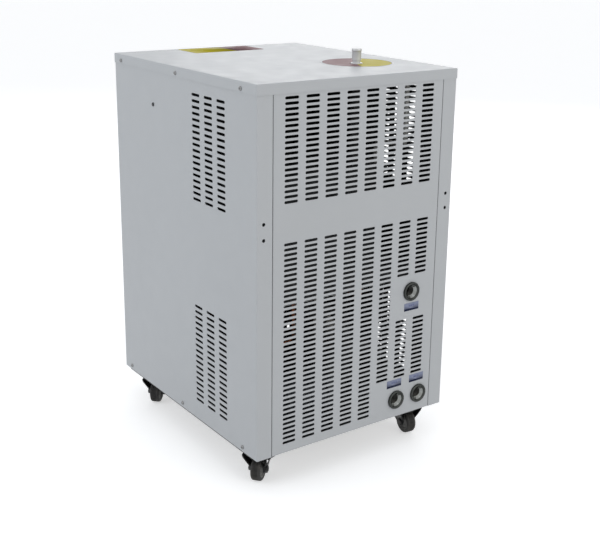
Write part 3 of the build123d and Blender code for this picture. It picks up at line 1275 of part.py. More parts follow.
def caster_wheel(name):
    """Wheel with its hub, web and rounded tread."""
    hub_half = FORK_GAP / 2 - WHEEL_SIDE_GAP
    bore = AXLE_R + RUNNING_FIT
    half, web = WHEEL_WIDTH / 2, WHEEL_WIDTH / 5
    outline = [(bore, -hub_half), (WHEEL_HUB_R, -hub_half), (WHEEL_HUB_R, -web), (WHEEL_RIM_R, -web),
               (WHEEL_RIM_R, -half), (WHEEL_R, -half), (WHEEL_R, half), (WHEEL_RIM_R, half),
               (WHEEL_RIM_R, web), (WHEEL_HUB_R, web), (WHEEL_HUB_R, hub_half), (bore, hub_half)]
    corners = [0, 0.6, 0, 0, 1, 3, 3, 1, 0, 0, 0.6, 0]
    section = make_face(FilletPolyline(*[(r, 0, a) for r, a in outline], radius=corners, close=True))
    wheel = revolve(section, Axis.Z)
    return caster_place(name) * Pos(CASTER_TRAIL, 0, WHEEL_R) * Rot(90, 0, 0) * wheel


def caster_axle(name):
    """Axle bolt with its nut."""
    face = FORK_GAP / 2 + FORK_T
    out = (0, 1, 0)
    head = hexagon(AXLE_HEAD_ACROSS, (CASTER_TRAIL, -face, WHEEL_R), (0, -1, 0), AXLE_HEAD_T)
    bolt = head + rod(AXLE_R, (CASTER_TRAIL, -face, WHEEL_R), out, 2 * face + AXLE_HEAD_T + 1)
    nut_start = (CASTER_TRAIL, face, WHEEL_R)
    nut = hexagon(AXLE_HEAD_ACROSS, nut_start, out, AXLE_HEAD_T)
    nut -= rod(AXLE_R + HOLE_FIT, nut_start, out, AXLE_HEAD_T)
    return [caster_place(name) * bolt, caster_place(name) * nut]


def nodes():
    """Every node's name and how it is built."""
    table = {
        "base_tray": base_tray,
        "side_panel_right": side_panel_right,
        "side_panel_left": side_panel_left,
        "rear_panel": rear_panel,
        "front_panel": front_panel,
        "top_cover": top_cover,
        "mid_shelf": mid_shelf,
        "cover_screws": cover_screws,
        "base_screws": base_screws,
        "foot_screws": foot_screws,
        "side_plug": side_plug,
        "lock_nuts": lock_nuts,
        "port_labels": port_labels,
        "round_label": round_label,
        "front_label": front_label,
        "filler_neck": filler_neck,
        "filler_cap": filler_cap,
        "water_tank": water_tank,
        "tank_lid": tank_lid,
        "vent_hose": vent_hose,
        "circulation_pump": circulation_pump,
        "water_hoses": water_hoses,
        "plate_evaporator": plate_evaporator,
        "compressor": compressor,
        "compressor_mounts": compressor_mounts,
        "mount_bolts": mount_bolts,
        "condenser_coil": condenser_coil,
        "fan_shroud": fan_shroud,
        "fan_motor": fan_motor,
        "fan_blades": fan_blades,
        "filter_drier": filter_drier,
        "refrigerant_pipes": refrigerant_pipes,
        "control_bracket": control_bracket,
        "contactor": contactor,
        "control_fascia": control_fascia,
        "temperature_controller": temperature_controller,
        "key_set": lambda: key(0),
        "key_down": lambda: key(1),
        "key_up": lambda: key(2),
        "switch_frame": switch_frame,
        "switch_rocker": switch_rocker,
        "indicator_lamps": indicator_lamps,
        "cable_gland": cable_gland,
        "caster_plates": caster_plates,
        "caster_bolts": caster_bolts,
    }
    for name in PORTS:
        table[name] = lambda name=name: water_port(name)
    for name in CASTER_HEADINGS:
        table["caster_fork_" + name] = lambda name=name: caster_fork(name)
        table["caster_wheel_" + name] = lambda name=name: caster_wheel(name)
        table["caster_axle_" + name] = lambda name=name: caster_axle(name)
    return table


def save(name, shape):
    """Write one node's solids to its STEP file."""
    pieces = shape if isinstance(shape, list) else [shape]
    solids = [solid for piece in pieces for solid in piece.solids()]
    export_step(solids[0] if len(solids) == 1 else Compound(children=solids), "parts/" + name + ".step")


if __name__ == "__main__":
    os.makedirs("parts", exist_ok=True)
    for node, build in nodes().items():
        save(node, build())
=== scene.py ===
import json
import math

import bmesh
import bpy
from mathutils import Matrix, Vector


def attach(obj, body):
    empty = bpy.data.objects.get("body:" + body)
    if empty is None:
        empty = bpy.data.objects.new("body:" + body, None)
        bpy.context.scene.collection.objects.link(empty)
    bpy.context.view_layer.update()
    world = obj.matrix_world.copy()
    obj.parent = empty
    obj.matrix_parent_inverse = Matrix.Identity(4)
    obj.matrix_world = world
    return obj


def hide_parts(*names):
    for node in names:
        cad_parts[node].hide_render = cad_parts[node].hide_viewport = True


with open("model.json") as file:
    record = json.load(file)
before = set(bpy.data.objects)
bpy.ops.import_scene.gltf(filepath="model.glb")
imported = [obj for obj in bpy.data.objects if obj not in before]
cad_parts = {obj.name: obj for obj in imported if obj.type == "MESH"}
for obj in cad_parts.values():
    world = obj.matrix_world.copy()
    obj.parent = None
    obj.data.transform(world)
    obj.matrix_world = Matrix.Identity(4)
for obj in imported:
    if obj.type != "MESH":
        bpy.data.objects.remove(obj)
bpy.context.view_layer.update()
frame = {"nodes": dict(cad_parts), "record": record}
scene = bpy.context.scene
scene.view_settings.view_transform = "Standard"

MM = 0.001
EVEN = (1.0, 1.0, 1.0)
WHITE = (1.0, 1.0, 1.0, 1.0)

# The cabinet, in millimetres from the middle of its footprint on the floor
WIDTH = 470.0
DEPTH = 560.0
TOP = 793.0
REAR = DEPTH / 2
SKIN = 1.2


# Camera, solved from the photograph's vanishing geometry

def make_camera():
    """The photograph's viewpoint, with its small off-centre shift."""
    data = bpy.data.cameras.new("camera")
    data.sensor_width = 36.0
    data.lens = 61.76
    data.shift_x = -0.0215
    data.shift_y = -0.0649
    data.clip_end = 100.0
    camera = bpy.data.objects.new("camera", data)
    scene.collection.objects.link(camera)
    place = (1.1937, 1.7654, 1.0399)
    right = Vector((-0.81069, 0.58528, 0.01515))
    up = Vector((-0.14812, -0.23006, 0.96184))
    back = Vector((0.56643, 0.77751, 0.27320))
    turn = Matrix((right, up, back)).transposed().to_4x4()
    camera.matrix_world = Matrix.Translation(place) @ turn
    scene.camera = camera


# Materials

def srgb(r, g, b):
    """Linear colour of an sRGB value given in 0 to 255."""
    def line(v):
        v /= 255.0
        return v / 12.92 if v <= 0.04045 else ((v + 0.055) / 1.055) ** 2.4
    return (line(r), line(g), line(b), 1.0)


def shade(colour, factor):
    """A colour made lighter or darker."""
    return tuple(min(1.0, c * factor) for c in colour[:3]) + (1.0,)


class Nodes:
    """Short names for building a material's node tree."""

    def __init__(self, name):
        self.material = bpy.data.materials.new(name)
        self.material.use_nodes = True
        self.tree = self.material.node_tree
        self.shader = self.tree.nodes["Principled BSDF"]

    def add(self, kind, **values):
        """A node, with its own settings."""
        node = self.tree.nodes.new(kind)
        for key, value in values.items():
            setattr(node, key, value)
        return node

    def link(self, out, into):
        """Join two sockets."""
        self.tree.links.new(out, into)

    def set(self, **values):
        """Constants of the shader, by socket name with underscores."""
        for key, value in values.items():
            self.shader.inputs[key.replace("_", " ")].default_value = value

    def coords(self, scale=EVEN):
        """Object coordinates, stretched."""
        source = self.add("ShaderNodeTexCoord")
        mapping = self.add("ShaderNodeMapping")
        mapping.inputs["Scale"].default_value = scale
        self.link(source.outputs["Object"], mapping.inputs["Vector"])
        return mapping.outputs["Vector"]

    def noise(self, scale, detail=3.0, stretch=EVEN, rough=0.5):
        """Noise over the object's own coordinates."""
        noise = self.add("ShaderNodeTexNoise")
        noise.inputs["Scale"].default_value = scale
        noise.inputs["Detail"].default_value = detail
        noise.inputs["Roughness"].default_value = rough
        self.link(self.coords(stretch), noise.inputs["Vector"])
        return noise.outputs["Fac"]

    def spread(self, value, low, high, out_low=0.0, out_high=1.0):
        """Remap a value's range, clamped."""
        node = self.add("ShaderNodeMapRange")
        node.inputs["From Min"].default_value = low
        node.inputs["From Max"].default_value = high
        node.inputs["To Min"].default_value = out_low
        node.inputs["To Max"].default_value = out_high
        self.link(value, node.inputs["Value"])
        return node.outputs["Result"]

    def maths(self, operation, *values):
        """Result of an operation on values, each a number or a socket."""
        node = self.add("ShaderNodeMath", operation=operation)
        for index, value in enumerate(values):
            if isinstance(value, float):
                node.inputs[index].default_value = value
            else:
                self.link(value, node.inputs[index])
        return node.outputs[0]

    def mix(self, factor, first, second):
        """Mix two colours, each a colour or a socket."""
        node = self.add("ShaderNodeMix", data_type="RGBA")
        self.link(factor, node.inputs[0])
        for index, colour in ((6, first), (7, second)):
            if isinstance(colour, tuple):
                node.inputs[index].default_value = colour
            else:
                self.link(colour, node.inputs[index])
        return node.outputs[2]

    def colour(self, socket):
        """Give the shader its colour."""
        self.link(socket, self.shader.inputs["Base Color"])

    def clouds(self, colour, vary, scale, detail=3.0):
        """A colour that drifts a little lighter and darker."""
        return self.mix(self.noise(scale, detail), shade(colour, 1.0 - vary), shade(colour, 1.0 + vary))

    def gloss(self, low, high, scale, detail=3.0, stretch=EVEN):
        """Roughness that wanders between two values."""
        uneven = self.spread(self.noise(scale, detail, stretch), 0.3, 0.7, low, high)
        self.link(uneven, self.shader.inputs["Roughness"])

    def bump(self, height, strength, distance):
        """Bump from a height, into the shader's normal."""
        node = self.add("ShaderNodeBump")
        node.inputs["Strength"].default_value = strength
        node.inputs["Distance"].default_value = distance
        self.link(height, node.inputs["Height"])
        self.link(node.outputs["Normal"], self.shader.inputs["Normal"])


def panel_paint(name, colour, inside_shade):
    """Powder coat on the outer faces of the cabinet's skin, and a dark painted shade on its inner faces,
    standing in for the shade deep inside the cabinet.
    """
    n = Nodes(name)
    position = n.add("ShaderNodeSeparateXYZ")
    n.link(n.add("ShaderNodeTexCoord").outputs["Object"], position.inputs[0])
    seam = 0.1 * MM
    inner_top = (TOP - SKIN) * MM
    # Mask of the skin's inner faces, which get a dark painted shade instead of the pale coat
    inner_shade_mask = n.spread(position.outputs["Z"], inner_top, inner_top + seam, 1.0, 0.0)
    for axis, size in (("X", WIDTH), ("Y", DEPTH)):
        half = (size / 2 - SKIN) * MM
        reach = n.maths("ABSOLUTE", position.outputs[axis])
        inner_shade_mask = n.maths("MULTIPLY", inner_shade_mask, n.spread(reach, half, half + seam, 1.0, 0.0))
    n.colour(n.mix(inner_shade_mask, n.clouds(colour, 0.03, 3.0, 4.0), inside_shade))
    n.gloss(0.41, 0.53, 30.0)
    n.bump(n.noise(900.0, 2.0), 0.05, 0.0004)
    n.set(IOR=1.45, Specular_IOR_Level=0.35)
    return n.material


def paint(name, colour, rough=0.42, metallic=0.0):
    """Powder coat: fine orange peel, faint cloudiness and a little uneven gloss."""
    n = Nodes(name)
    n.colour(n.clouds(colour, 0.04, 3.0, 4.0))
    n.gloss(rough - 0.05, rough + 0.07, 30.0)
    n.bump(n.noise(900.0, 2.0), 0.05, 0.0004)
    n.set(Metallic=metallic, IOR=1.5)
    return n.material


def metal(name, colour, rough, stretch=EVEN, scale=400.0):
    """Worked metal: fine lines along a direction and faint tarnish."""
    n = Nodes(name)
    tarnished = n.spread(n.noise(14.0, 5.0), 0.35, 0.75)
    n.colour(n.mix(tarnished, colour, shade(colour, 0.76)))
    n.gloss(rough * 0.75, rough * 1.35, scale, 3.0, stretch)
    n.bump(n.noise(scale, 2.0, stretch), 0.08, 0.0003)
    n.set(Metallic=1.0)
    return n.material


def plastic(name, colour, rough=0.45, grain=1400.0, bump=0.12):
    """Moulded plastic with a fine grain and uneven gloss."""
    n = Nodes(name)
    n.colour(n.clouds(colour, 0.06, 8.0, 4.0))
    n.gloss(rough - 0.06, rough + 0.1, 60.0, 4.0)
    n.bump(n.noise(grain, 2.0), bump, 0.0003)
    n.set(IOR=1.48)
    return n.material


def dusty(name, colour, dust, rough, amount):
    """Rubber or paint with dust that gathers unevenly."""
    n = Nodes(name)
    patches = n.spread(n.noise(45.0, 6.0, rough=0.65), 0.48, 0.78, 0.0, amount)
    n.colour(n.mix(patches, colour, dust))
    n.gloss(rough - 0.08, rough + 0.1, 80.0)
    n.bump(n.noise(900.0, 3.0), 0.15, 0.0003)
    return n.material


def copper(name):
    """Drawn copper with brown oxide and brazing marks."""
    n = Nodes(name)
    stained = n.spread(n.noise(22.0, 5.0, rough=0.6), 0.45, 0.75)
    n.colour(n.mix(stained, srgb(205, 130, 92), srgb(120, 72, 52)))
    n.gloss(0.22, 0.42, 90.0)
    n.set(Metallic=1.0)
    return n.material


def zinc(name):
    """Zinc-coated sheet with its faint crystal pattern."""
    n = Nodes(name)
    cells = n.add("ShaderNodeTexVoronoi")
    cells.inputs["Scale"].default_value = 60.0
    n.link(n.coords(), cells.inputs["Vector"])
    spangle = n.spread(cells.outputs["Color"], 0.0, 1.0)
    n.colour(n.mix(spangle, srgb(150, 152, 151), srgb(178, 181, 182)))
    n.link(n.spread(cells.outputs["Distance"], 0.0, 0.02, 0.42, 0.55), n.shader.inputs["Roughness"])
    n.set(Metallic=0.85)
    return n.material


def printed(name, colour):
    """Printed and laminated film: even colour with faint print grain."""
    n = Nodes(name)
    n.colour(n.clouds(colour, 0.03, 700.0, 2.0))
    n.gloss(0.5, 0.61, 40.0)
    n.bump(n.noise(220.0, 2.0), 0.03, 0.0003)
    n.set(Specular_IOR_Level=0.12)
    return n.material


def glassy(name, colour):
    """Tinted glossy lens."""
    n = Nodes(name)
    n.colour(n.clouds(colour, 0.1, 6.0))
    n.gloss(0.08, 0.14, 50.0)
    n.set(Coat_Weight=0.6, Coat_Roughness=0.05)
    return n.material


TURNED = (1.0, 30.0, 1.0)    # tool marks round a port's axis
PLATED = (1.0, 20.0, 1.0)    # lines of the evaporator's plate pack
FINNED = (40.0, 1.0, 1.0)    # lines of the condenser's fins

MATERIALS = {
    # The cabinet's second colour is a painted shade for the inner faces of its skin
    "cabinet_paint": panel_paint("cabinet_paint", srgb(190, 192, 194), srgb(48, 49, 50)),
    "zinc_sheet": zinc("zinc_sheet"),
    "screw_steel": metal("screw_steel", srgb(150, 150, 150), 0.34),
    "black_plastic": plastic("black_plastic", srgb(38, 38, 40), 0.5),
    "port_metal": metal("port_metal", srgb(66, 68, 66), 0.34, TURNED, 120.0),
    "port_cone": metal("port_cone", srgb(138, 140, 138), 0.14, TURNED, 120.0),
    "filler_metal": paint("filler_metal", srgb(206, 207, 208), 0.36, 0.3),
    "tank_plastic": plastic("tank_plastic", srgb(58, 60, 62), 0.7, 500.0, 0.3),
    "pale_hose": plastic("pale_hose", srgb(176, 176, 171), 0.4),
    "pump_paint": paint("pump_paint", srgb(62, 66, 72), 0.4),
    "hose_rubber": dusty("hose_rubber", srgb(40, 40, 41), srgb(96, 94, 90), 0.62, 0.35),
    "evaporator_steel": metal("evaporator_steel", srgb(170, 168, 162), 0.32, PLATED, 160.0),
    "compressor_paint": paint("compressor_paint", srgb(34, 34, 36), 0.3),
    "coil_aluminium": metal("coil_aluminium", srgb(186, 188, 190), 0.35, FINNED, 90.0),
    "shroud_paint": paint("shroud_paint", srgb(52, 53, 55), 0.45),
    "motor_paint": paint("motor_paint", srgb(60, 61, 63)),
    "fan_plastic": plastic("fan_plastic", srgb(120, 123, 126), 0.42),
    "copper": copper("copper"),
    "contactor_plastic": plastic("contactor_plastic", srgb(98, 100, 102), 0.5),
    "fascia_paint": paint("fascia_paint", srgb(72, 82, 104), 0.36),
    "controller_plastic": plastic("controller_plastic", srgb(34, 35, 38), 0.36),
    "key_plastic": plastic("key_plastic", srgb(150, 152, 156), 0.5),
    "rocker_plastic": plastic("rocker_plastic", srgb(150, 30, 28), 0.3),
    "lamp_lens": glassy("lamp_lens", srgb(40, 130, 60)),
    "caster_paint": dusty("caster_paint", srgb(17, 17, 18), srgb(64, 62, 58), 0.42, 0.16),
    "wheel_rubber": dusty("wheel_rubber", srgb(34, 33, 32), srgb(104, 98, 90), 0.62, 0.4),
    "hub_plastic": dusty("hub_plastic", srgb(112, 111, 108), srgb(66, 62, 58), 0.5, 0.6),
    "label_yellow": printed("label_yellow", srgb(180, 168, 44)),
    "label_mauve": printed("label_mauve", srgb(134, 106, 108)),
    "label_white": printed("label_white", srgb(214, 214, 216)),
    "label_line": printed("label_line", srgb(120, 112, 112)),
    "label_blue_grey": printed("label_blue_grey", srgb(136, 142, 166)),
    "label_navy": printed("label_navy", srgb(28, 34, 62)),
    "label_mark": printed("label_mark", srgb(112, 118, 150)),
    "thread_dark": metal("thread_dark", srgb(58, 58, 56), 0.38, TURNED, 120.0),
}
SLOT_MATERIAL = {"port_label_film": "label_blue_grey", "round_label_film": "label_yellow",
                 "front_label_film": "label_yellow"}


def dress_nodes():
    """Give every CAD node the procedural material of its slot."""
    for entry in frame["record"]["subparts"]:
        node = frame["nodes"][entry["node"]]
        slot_name = entry["material_slot"]
        node.data.materials.clear()
        node.data.materials.append(MATERIALS[SLOT_MATERIAL.get(slot_name, slot_name)])


# Mesh helpers

def finish_mesh(name, bm, materials, body, replaces=(), angle=30.0):
    """Turn a bmesh in millimetres into a piece that rides on a body."""
    bmesh.ops.remove_doubles(bm, verts=bm.verts, dist=1e-4)
    bmesh.ops.recalc_face_normals(bm, faces=bm.faces)
    for edge in bm.edges:
        sharp = len(edge.link_faces) == 2 and edge.calc_face_angle(0.0) > math.radians(angle)
        edge.smooth = not sharp
    for face in bm.faces:
        face.smooth = True
    bmesh.ops.scale(bm, vec=(MM, MM, MM), verts=bm.verts)
    mesh = bpy.data.meshes.new(name)
    bm.to_mesh(mesh)
    bm.free()
    for material in materials:
        mesh.materials.append(MATERIALS[material])
    piece = bpy.data.objects.new(name, mesh)
    scene.collection.objects.link(piece)
    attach(piece, body)
    if replaces:
        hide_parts(*replaces)


def around(radius, segments, step):
    """Point of a circle, after so many steps of so many segments."""
    angle = 2 * math.pi * step / segments
    return radius * math.cos(angle), radius * math.sin(angle)


def lathe(bm, profile, segments, place):
    """Spin a closed outline of (radius, height) points about the local Z, and give its rings back."""
    rings = []
    for r, z in profile + [profile[0]]:
        steps = range(segments) if r else [0]
        rings.append([bm.verts.new(place @ Vector((*around(r, segments, i), z))) for i in steps])
    for low, high in zip(rings, rings[1:]):
        for i in range(segments):
            j = (i + 1) % segments
            corners = [low[i % len(low)], low[j % len(low)], high[j % len(high)], high[i % len(high)]]
            corners = list(dict.fromkeys(corners))
            if len(corners) > 2:
                bm.faces.new(corners)
    return rings


def arc(middle_r, middle_z, radius, start, end, steps):
    """Points of an arc in a lathe's outline, angles in degrees."""
    points = []
    for i in range(steps + 1):
        a = math.radians(start + (end - start) * i / steps)
        points.append((middle_r + radius * math.cos(a), middle_z + radius * math.sin(a)))
    return points


def shell_grid(bm, outer, inner):
    """Closed sheet between an outer and an inner grid of points."""
    skins = [[[bm.verts.new(point) for point in row] for row in grid] for grid in (outer, inner)]
    for grid in skins:
        for upper, lower in zip(grid, grid[1:]):
            for i in range(len(upper) - 1):
                bm.faces.new((upper[i], upper[i + 1], lower[i + 1], lower[i]))
    rims = []
    for grid in skins:
        rim = grid[0] + [row[-1] for row in grid[1:-1]] + grid[-1][::-1]
        rims.append(rim + [row[0] for row in grid[-2:0:-1]])
    for i in range(len(rims[0])):
        j = (i + 1) % len(rims[0])
        bm.faces.new((rims[0][i], rims[0][j], rims[1][j], rims[1][i]))


# Casters, in millimetres from the floor and from the swivel axis, with the wheel trailing along +X

JOINTS = {joint["name"]: joint for joint in frame["record"]["behaviour"]["joints"]}
CASTERS = [name.partition("_")[2] for name in JOINTS if name.startswith("swivel_")]
WHEEL_R = 25.0
TRAIL = 16.0
TREAD_HALF = 10.0
TREAD_GROOVES = 9
TREAD_SHOULDER_R = 3.2
TREAD_SHOULDER_STEPS = 5
TREAD_SIDE = 4.4         # from the tyre's side to its first groove
TREAD_TOP_R = WHEEL_R - 0.02
TREAD_GROOVE_R = WHEEL_R - 0.65
TYRE_SIDE_R = 22.0
RIM_R = 18.0
HUB_PROFILE = [(4.1, -11.9), (6.0, -12.0), (8.2, -12.0), (8.6, -11.6), (9.0, -9.0), (10.4, -7.2),
               (14.2, -6.4), (15.2, -7.4), (17.4, -9.2), (RIM_R, -9.3)]
PRESS_T = 2.3            # sheet of the fork
LEG_FACE = 14.9          # outer face of a fork leg at the axle
LEG_BACK = -10.0
LEG_STEPS = 6
LEG_ROWS = [             # height, back edge, front edge, outer face
    (57.5, LEG_BACK, 33.0, 29.4), (52.0, LEG_BACK, 33.0, 27.6), (43.0, LEG_BACK, 30.5, 22.4),
    (34.0, LEG_BACK, 27.5, 17.2), (30.0, LEG_BACK, 26.0, LEG_FACE), (25.0, -2.0, 25.4, LEG_FACE),
    (20.0, 6.0, 23.8, LEG_FACE), (16.6, 11.4, 20.6, LEG_FACE)]
WEB_START = LEG_BACK + 0.4
WEB_STEPS = 18
WEB_ROWS = [             # height, depth behind the legs, half width
    (57.4, 21.4, 29.2), (52.0, 20.4, 27.4), (46.0, 15.5, 23.9), (40.0, 9.5, 20.3), (34.0, 5.5, 17.0),
    (30.0, 4.2, 14.8)]
CROWN_PROFILE = [(5.2, 57.8), (28.6, 57.8), (30.2, 57.2), (31.0, 55.8), (31.5, 51.0), (31.2, 50.6),
                 (29.6, 50.6), (29.2, 51.0), (28.8, 54.8), (28.0, 55.5), (5.2, 55.5)]


def caster_matrix(name):
    """Place of a caster, turned to where its wheel trails, both from its joints."""
    x, y, _ = JOINTS["swivel_" + name]["pos_m"]
    axle = JOINTS["roll_" + name]["axis"]
    heading = math.atan2(-axle[0], axle[1])
    return Matrix.Translation((x / MM, y / MM, 0)) @ Matrix.Rotation(heading, 4, "Z")


def tyre_profile():
    """Tread with rounded shoulders and fine grooves, from one side to the other."""
    half = TREAD_HALF
    shoulder_r, shoulder_z = WHEEL_R - TREAD_SHOULDER_R, half - TREAD_SHOULDER_R - 0.2
    side = [(RIM_R, half - 0.4), (RIM_R + 0.6, half), (TYRE_SIDE_R - 0.6, half), (TYRE_SIDE_R, half - 0.3)]
    points = [(r, -z) for r, z in side]
    points += arc(shoulder_r, -shoulder_z, TREAD_SHOULDER_R, -70, -10, TREAD_SHOULDER_STEPS)
    pitch = 2 * (half - TREAD_SIDE) / TREAD_GROOVES
    for i in range(TREAD_GROOVES):
        z = TREAD_SIDE - half + i * pitch
        points += [(TREAD_TOP_R, z + 0.1), (TREAD_TOP_R, z + pitch * 0.62),
                   (TREAD_GROOVE_R, z + pitch * 0.72), (TREAD_GROOVE_R, z + pitch * 0.92)]
    points += arc(shoulder_r, shoulder_z, TREAD_SHOULDER_R, 10, 70, TREAD_SHOULDER_STEPS)
    return points + side[::-1]


def fork_leg(bm, place, side):
    """One leg of a pressed fork: broad under the crown, leaning in to the axle."""
    grids = []
    for depth in (0.0, PRESS_T):
        grid = []
        for z, back, front, face in LEG_ROWS:
            across = [back + (front - back) * i / LEG_STEPS for i in range(LEG_STEPS + 1)]
            grid.append([place @ Vector((x, side * (face - depth), z)) for x in across])
        grids.append(grid)
    shell_grid(bm, *grids)


def fork_web(bm, place):
    """Rounded back of the fork, from one leg to the other."""
    turns = [math.pi * (i / WEB_STEPS - 0.5) for i in range(WEB_STEPS + 1)]
    grids = []
    for depth in (0.0, PRESS_T):
        grid = []
        for z, back, half in WEB_ROWS:
            curve = [(WEB_START - (back - depth) * math.cos(t), (half - depth) * math.sin(t)) for t in turns]
            grid.append([place @ Vector((x, y, z)) for x, y in curve])
        grids.append(grid)
    shell_grid(bm, *grids)


def caster_forks():
    """Pressed forks: a flat crown with a turned-down rim, two leaning legs and a rounded back."""
    for name in CASTERS:
        place = caster_matrix(name)
        bm = bmesh.new()
        lathe(bm, CROWN_PROFILE, 64, place)
        for side in (-1, 1):
            fork_leg(bm, place, side)
        fork_web(bm, place)
        finish_mesh("fork_press_" + name, bm, ["caster_paint"], "fork_" + name,
                    ["caster_fork_" + name], 32.0)


def caster_wheels():
    """Ribbed rubber tyres on dished hubs."""
    for name in CASTERS:
        axle = Matrix.Translation((TRAIL, 0, WHEEL_R)) @ Matrix.Rotation(math.radians(90), 4, "X")
        place = caster_matrix(name) @ axle
        tyre = bmesh.new()
        lathe(tyre, tyre_profile(), 72, place)
        finish_mesh("tyre_" + name, tyre, ["wheel_rubber"], "wheel_" + name,
                    ["caster_wheel_" + name], 28.0)
        hub = bmesh.new()
        lathe(hub, HUB_PROFILE + [(r, -z) for r, z in reversed(HUB_PROFILE)], 48, place)
        finish_mesh("hub_" + name, hub, ["hub_plastic"], "wheel_" + name)


# Water ports, in millimetres from the face of the rear panel

PORTS = {"return_port": (-138.0, 345.8), "supply_port": (-108.0, 113.2), "drain_port": (-168.0, 113.2)}
PORT_FLANGE = [(13.0, 0.0), (19.4, 0.0), (19.9, 0.3), (19.98, 0.8), (19.98, 3.6), (19.5, 4.5), (18.6, 4.95),
               (17.6, 5.0), (17.0, 4.9), (16.5, 4.6), (14.6, 2.0)]
PORT_CONE = [(14.3, 1.9), (12.2, -0.7), (10.1, -2.8), (9.7, -3.2)]
CONE_FOOT = -3.3         # where the polished cone ends and the thread begins
CONE_RS = (9.6, 14.4)    # between these radii a face belongs to the cone
THREAD_START = -3.4
THREAD_PITCH = 1.4
THREAD_TURNS = 10
THREAD_TIP_R = 9.35
THREAD_ROOT_R = 10.2
THREAD_END = -18.0
WATERWAY_R = 6.0
TAIL_R = 7.8
TAIL_BARB_R = 9.0
TAIL_BARBS = 3
TAIL_LENGTH = 22.0
TAIL_END = -48.0


def port_profile():
    """Flange, polished cone, threaded bore, and the barbed tail inside the cabinet."""
    profile = PORT_FLANGE + PORT_CONE
    for i in range(THREAD_TURNS):
        z = THREAD_START - i * THREAD_PITCH
        profile += [(THREAD_TIP_R, z), (THREAD_TIP_R, z - 0.15), (THREAD_ROOT_R, z - THREAD_PITCH * 0.5),
                    (THREAD_ROOT_R, z - THREAD_PITCH * 0.6)]
    profile += [(THREAD_TIP_R, THREAD_END), (WATERWAY_R, THREAD_END - 0.1), (WATERWAY_R, TAIL_END + 0.2),
                (TAIL_R, TAIL_END + 0.05)]
    for i in range(TAIL_BARBS):
        z = TAIL_END + i * TAIL_LENGTH / TAIL_BARBS
        profile += [(TAIL_BARB_R, z + 5.5), (TAIL_BARB_R - 0.1, z + 5.9), (TAIL_R, z + 6.1)]
    root = TAIL_END + TAIL_LENGTH
    return profile + [(TAIL_R, root - 0.1), (PORT_FLANGE[0][0], root)]


def water_ports():
    """Turned fittings with a polished cone and a threaded bore."""
    for name, (x, z) in PORTS.items():
        outward = Vector((0, 1, 0)).to_track_quat("Z", "Y").to_matrix().to_4x4()
        place = Matrix.Translation((x, REAR, z)) @ outward
        bm = bmesh.new()
        lathe(bm, port_profile(), 64, place)
        for face in bm.faces:
            middle = place.inverted() @ face.calc_center_median()
            reach = math.hypot(middle.x, middle.y)
            if middle.z > CONE_FOOT and CONE_RS[0] < reach < CONE_RS[1]:
                face.material_index = 1
            elif middle.z < CONE_FOOT and reach < THREAD_ROOT_R + 0.1:
                face.material_index = 2
        finish_mesh("fitting_" + name, bm, ["port_metal", "port_cone", "thread_dark"], "cabinet",
                    [name], 22.0)


# Filler cap, in millimetres from the top cover

FILLER = (-102.0, 127.0)
CAP_SEGMENTS = 96
CAP_FLUTES = 24
CAP_FLUTE_DEPTH = 0.035      # share of the radius
CAP_FLUTED_RINGS = (2, 3)    # foot and head of the skirt in the outline
CAP_PROFILE = [(9.1, 7.0), (9.3, 7.4), (9.3, 8.6), (9.3, 24.6), (9.5, 25.4), (10.1, 26.1), (10.4, 26.6),
               (10.4, 29.6), (10.2, 30.4), (9.6, 30.85), (8.8, 31.0), (7.6, 31.0), (7.0, 30.6), (0, 30.3),
               (0, 28.0), (8.06, 28.0), (8.06, 7.2), (8.3, 7.0)]


def filler_cap():
    """Screw cap with fluted skirt, rim and a dished top."""
    bm = bmesh.new()
    rings = lathe(bm, CAP_PROFILE, CAP_SEGMENTS, Matrix.Translation((*FILLER, TOP)))
    for level in CAP_FLUTED_RINGS:
        for i, vert in enumerate(rings[level]):
            flute = max(0.0, math.cos(2 * math.pi * i * CAP_FLUTES / CAP_SEGMENTS))
            pull = 1.0 - CAP_FLUTE_DEPTH * flute
            vert.co.x = FILLER[0] + (vert.co.x - FILLER[0]) * pull
            vert.co.y = FILLER[1] + (vert.co.y - FILLER[1]) * pull
    finish_mesh("screw_cap", bm, ["filler_metal"], "cap", ["filler_cap"])


# Labels, in millimetres

FILM = 0.3
FILM_TOP = TOP + FILM
ROUND_MIDDLE = (-117.0, 110.0)
ROUND_R = 75.0
ROUND_HOLE_R = 12.3
ROUND_SEGMENTS = 96
ROUND_SPLIT = math.radians(-30.0)     # middle of the mauve field
ROUND_SHARES = (0.0, 0.04, 0.06, 0.5, 0.925, 0.945, 1.0)
ROUND_LINE = 5                        # level of the dark line, counted from the hole
FRONT_Y = -231.0
FRONT_HALF = (88.0, 42.0)
FRONT_CORNER_R = 6.0
FRONT_CORNER_STEPS = 6
FRONT_SPLIT = -15.0
PORT_LABEL_HALF = (19.25, 8.35)
PORT_LABEL_PLACES = {                 # from the port's axis to the label's middle
    "return_port": (-3.0, -33.2), "supply_port": (5.4, 37.2), "drain_port": (5.4, 37.2)}
PORT_STRIP = 4.2                      # height of the navy strip
PORT_MARK_PITCH = 5.2
PORT_MARK_HALF = 2.1
PORT_MARK_RISE = (4.4, 8.2)           # foot and head of the bars over the strip
MARK_LIFT = 0.02


def film(bm, outline, material):
    """Flat film on the top cover from a convex outline."""
    top = [bm.verts.new((x, y, FILM_TOP)) for x, y in outline]
    foot = [bm.verts.new((x, y, TOP)) for x, y in outline]
    bm.faces.new(top).material_index = material
    bm.faces.new(list(reversed(foot))).material_index = material
    for i in range(len(outline)):
        j = (i + 1) % len(outline)
        bm.faces.new((foot[i], foot[j], top[j], top[i])).material_index = material


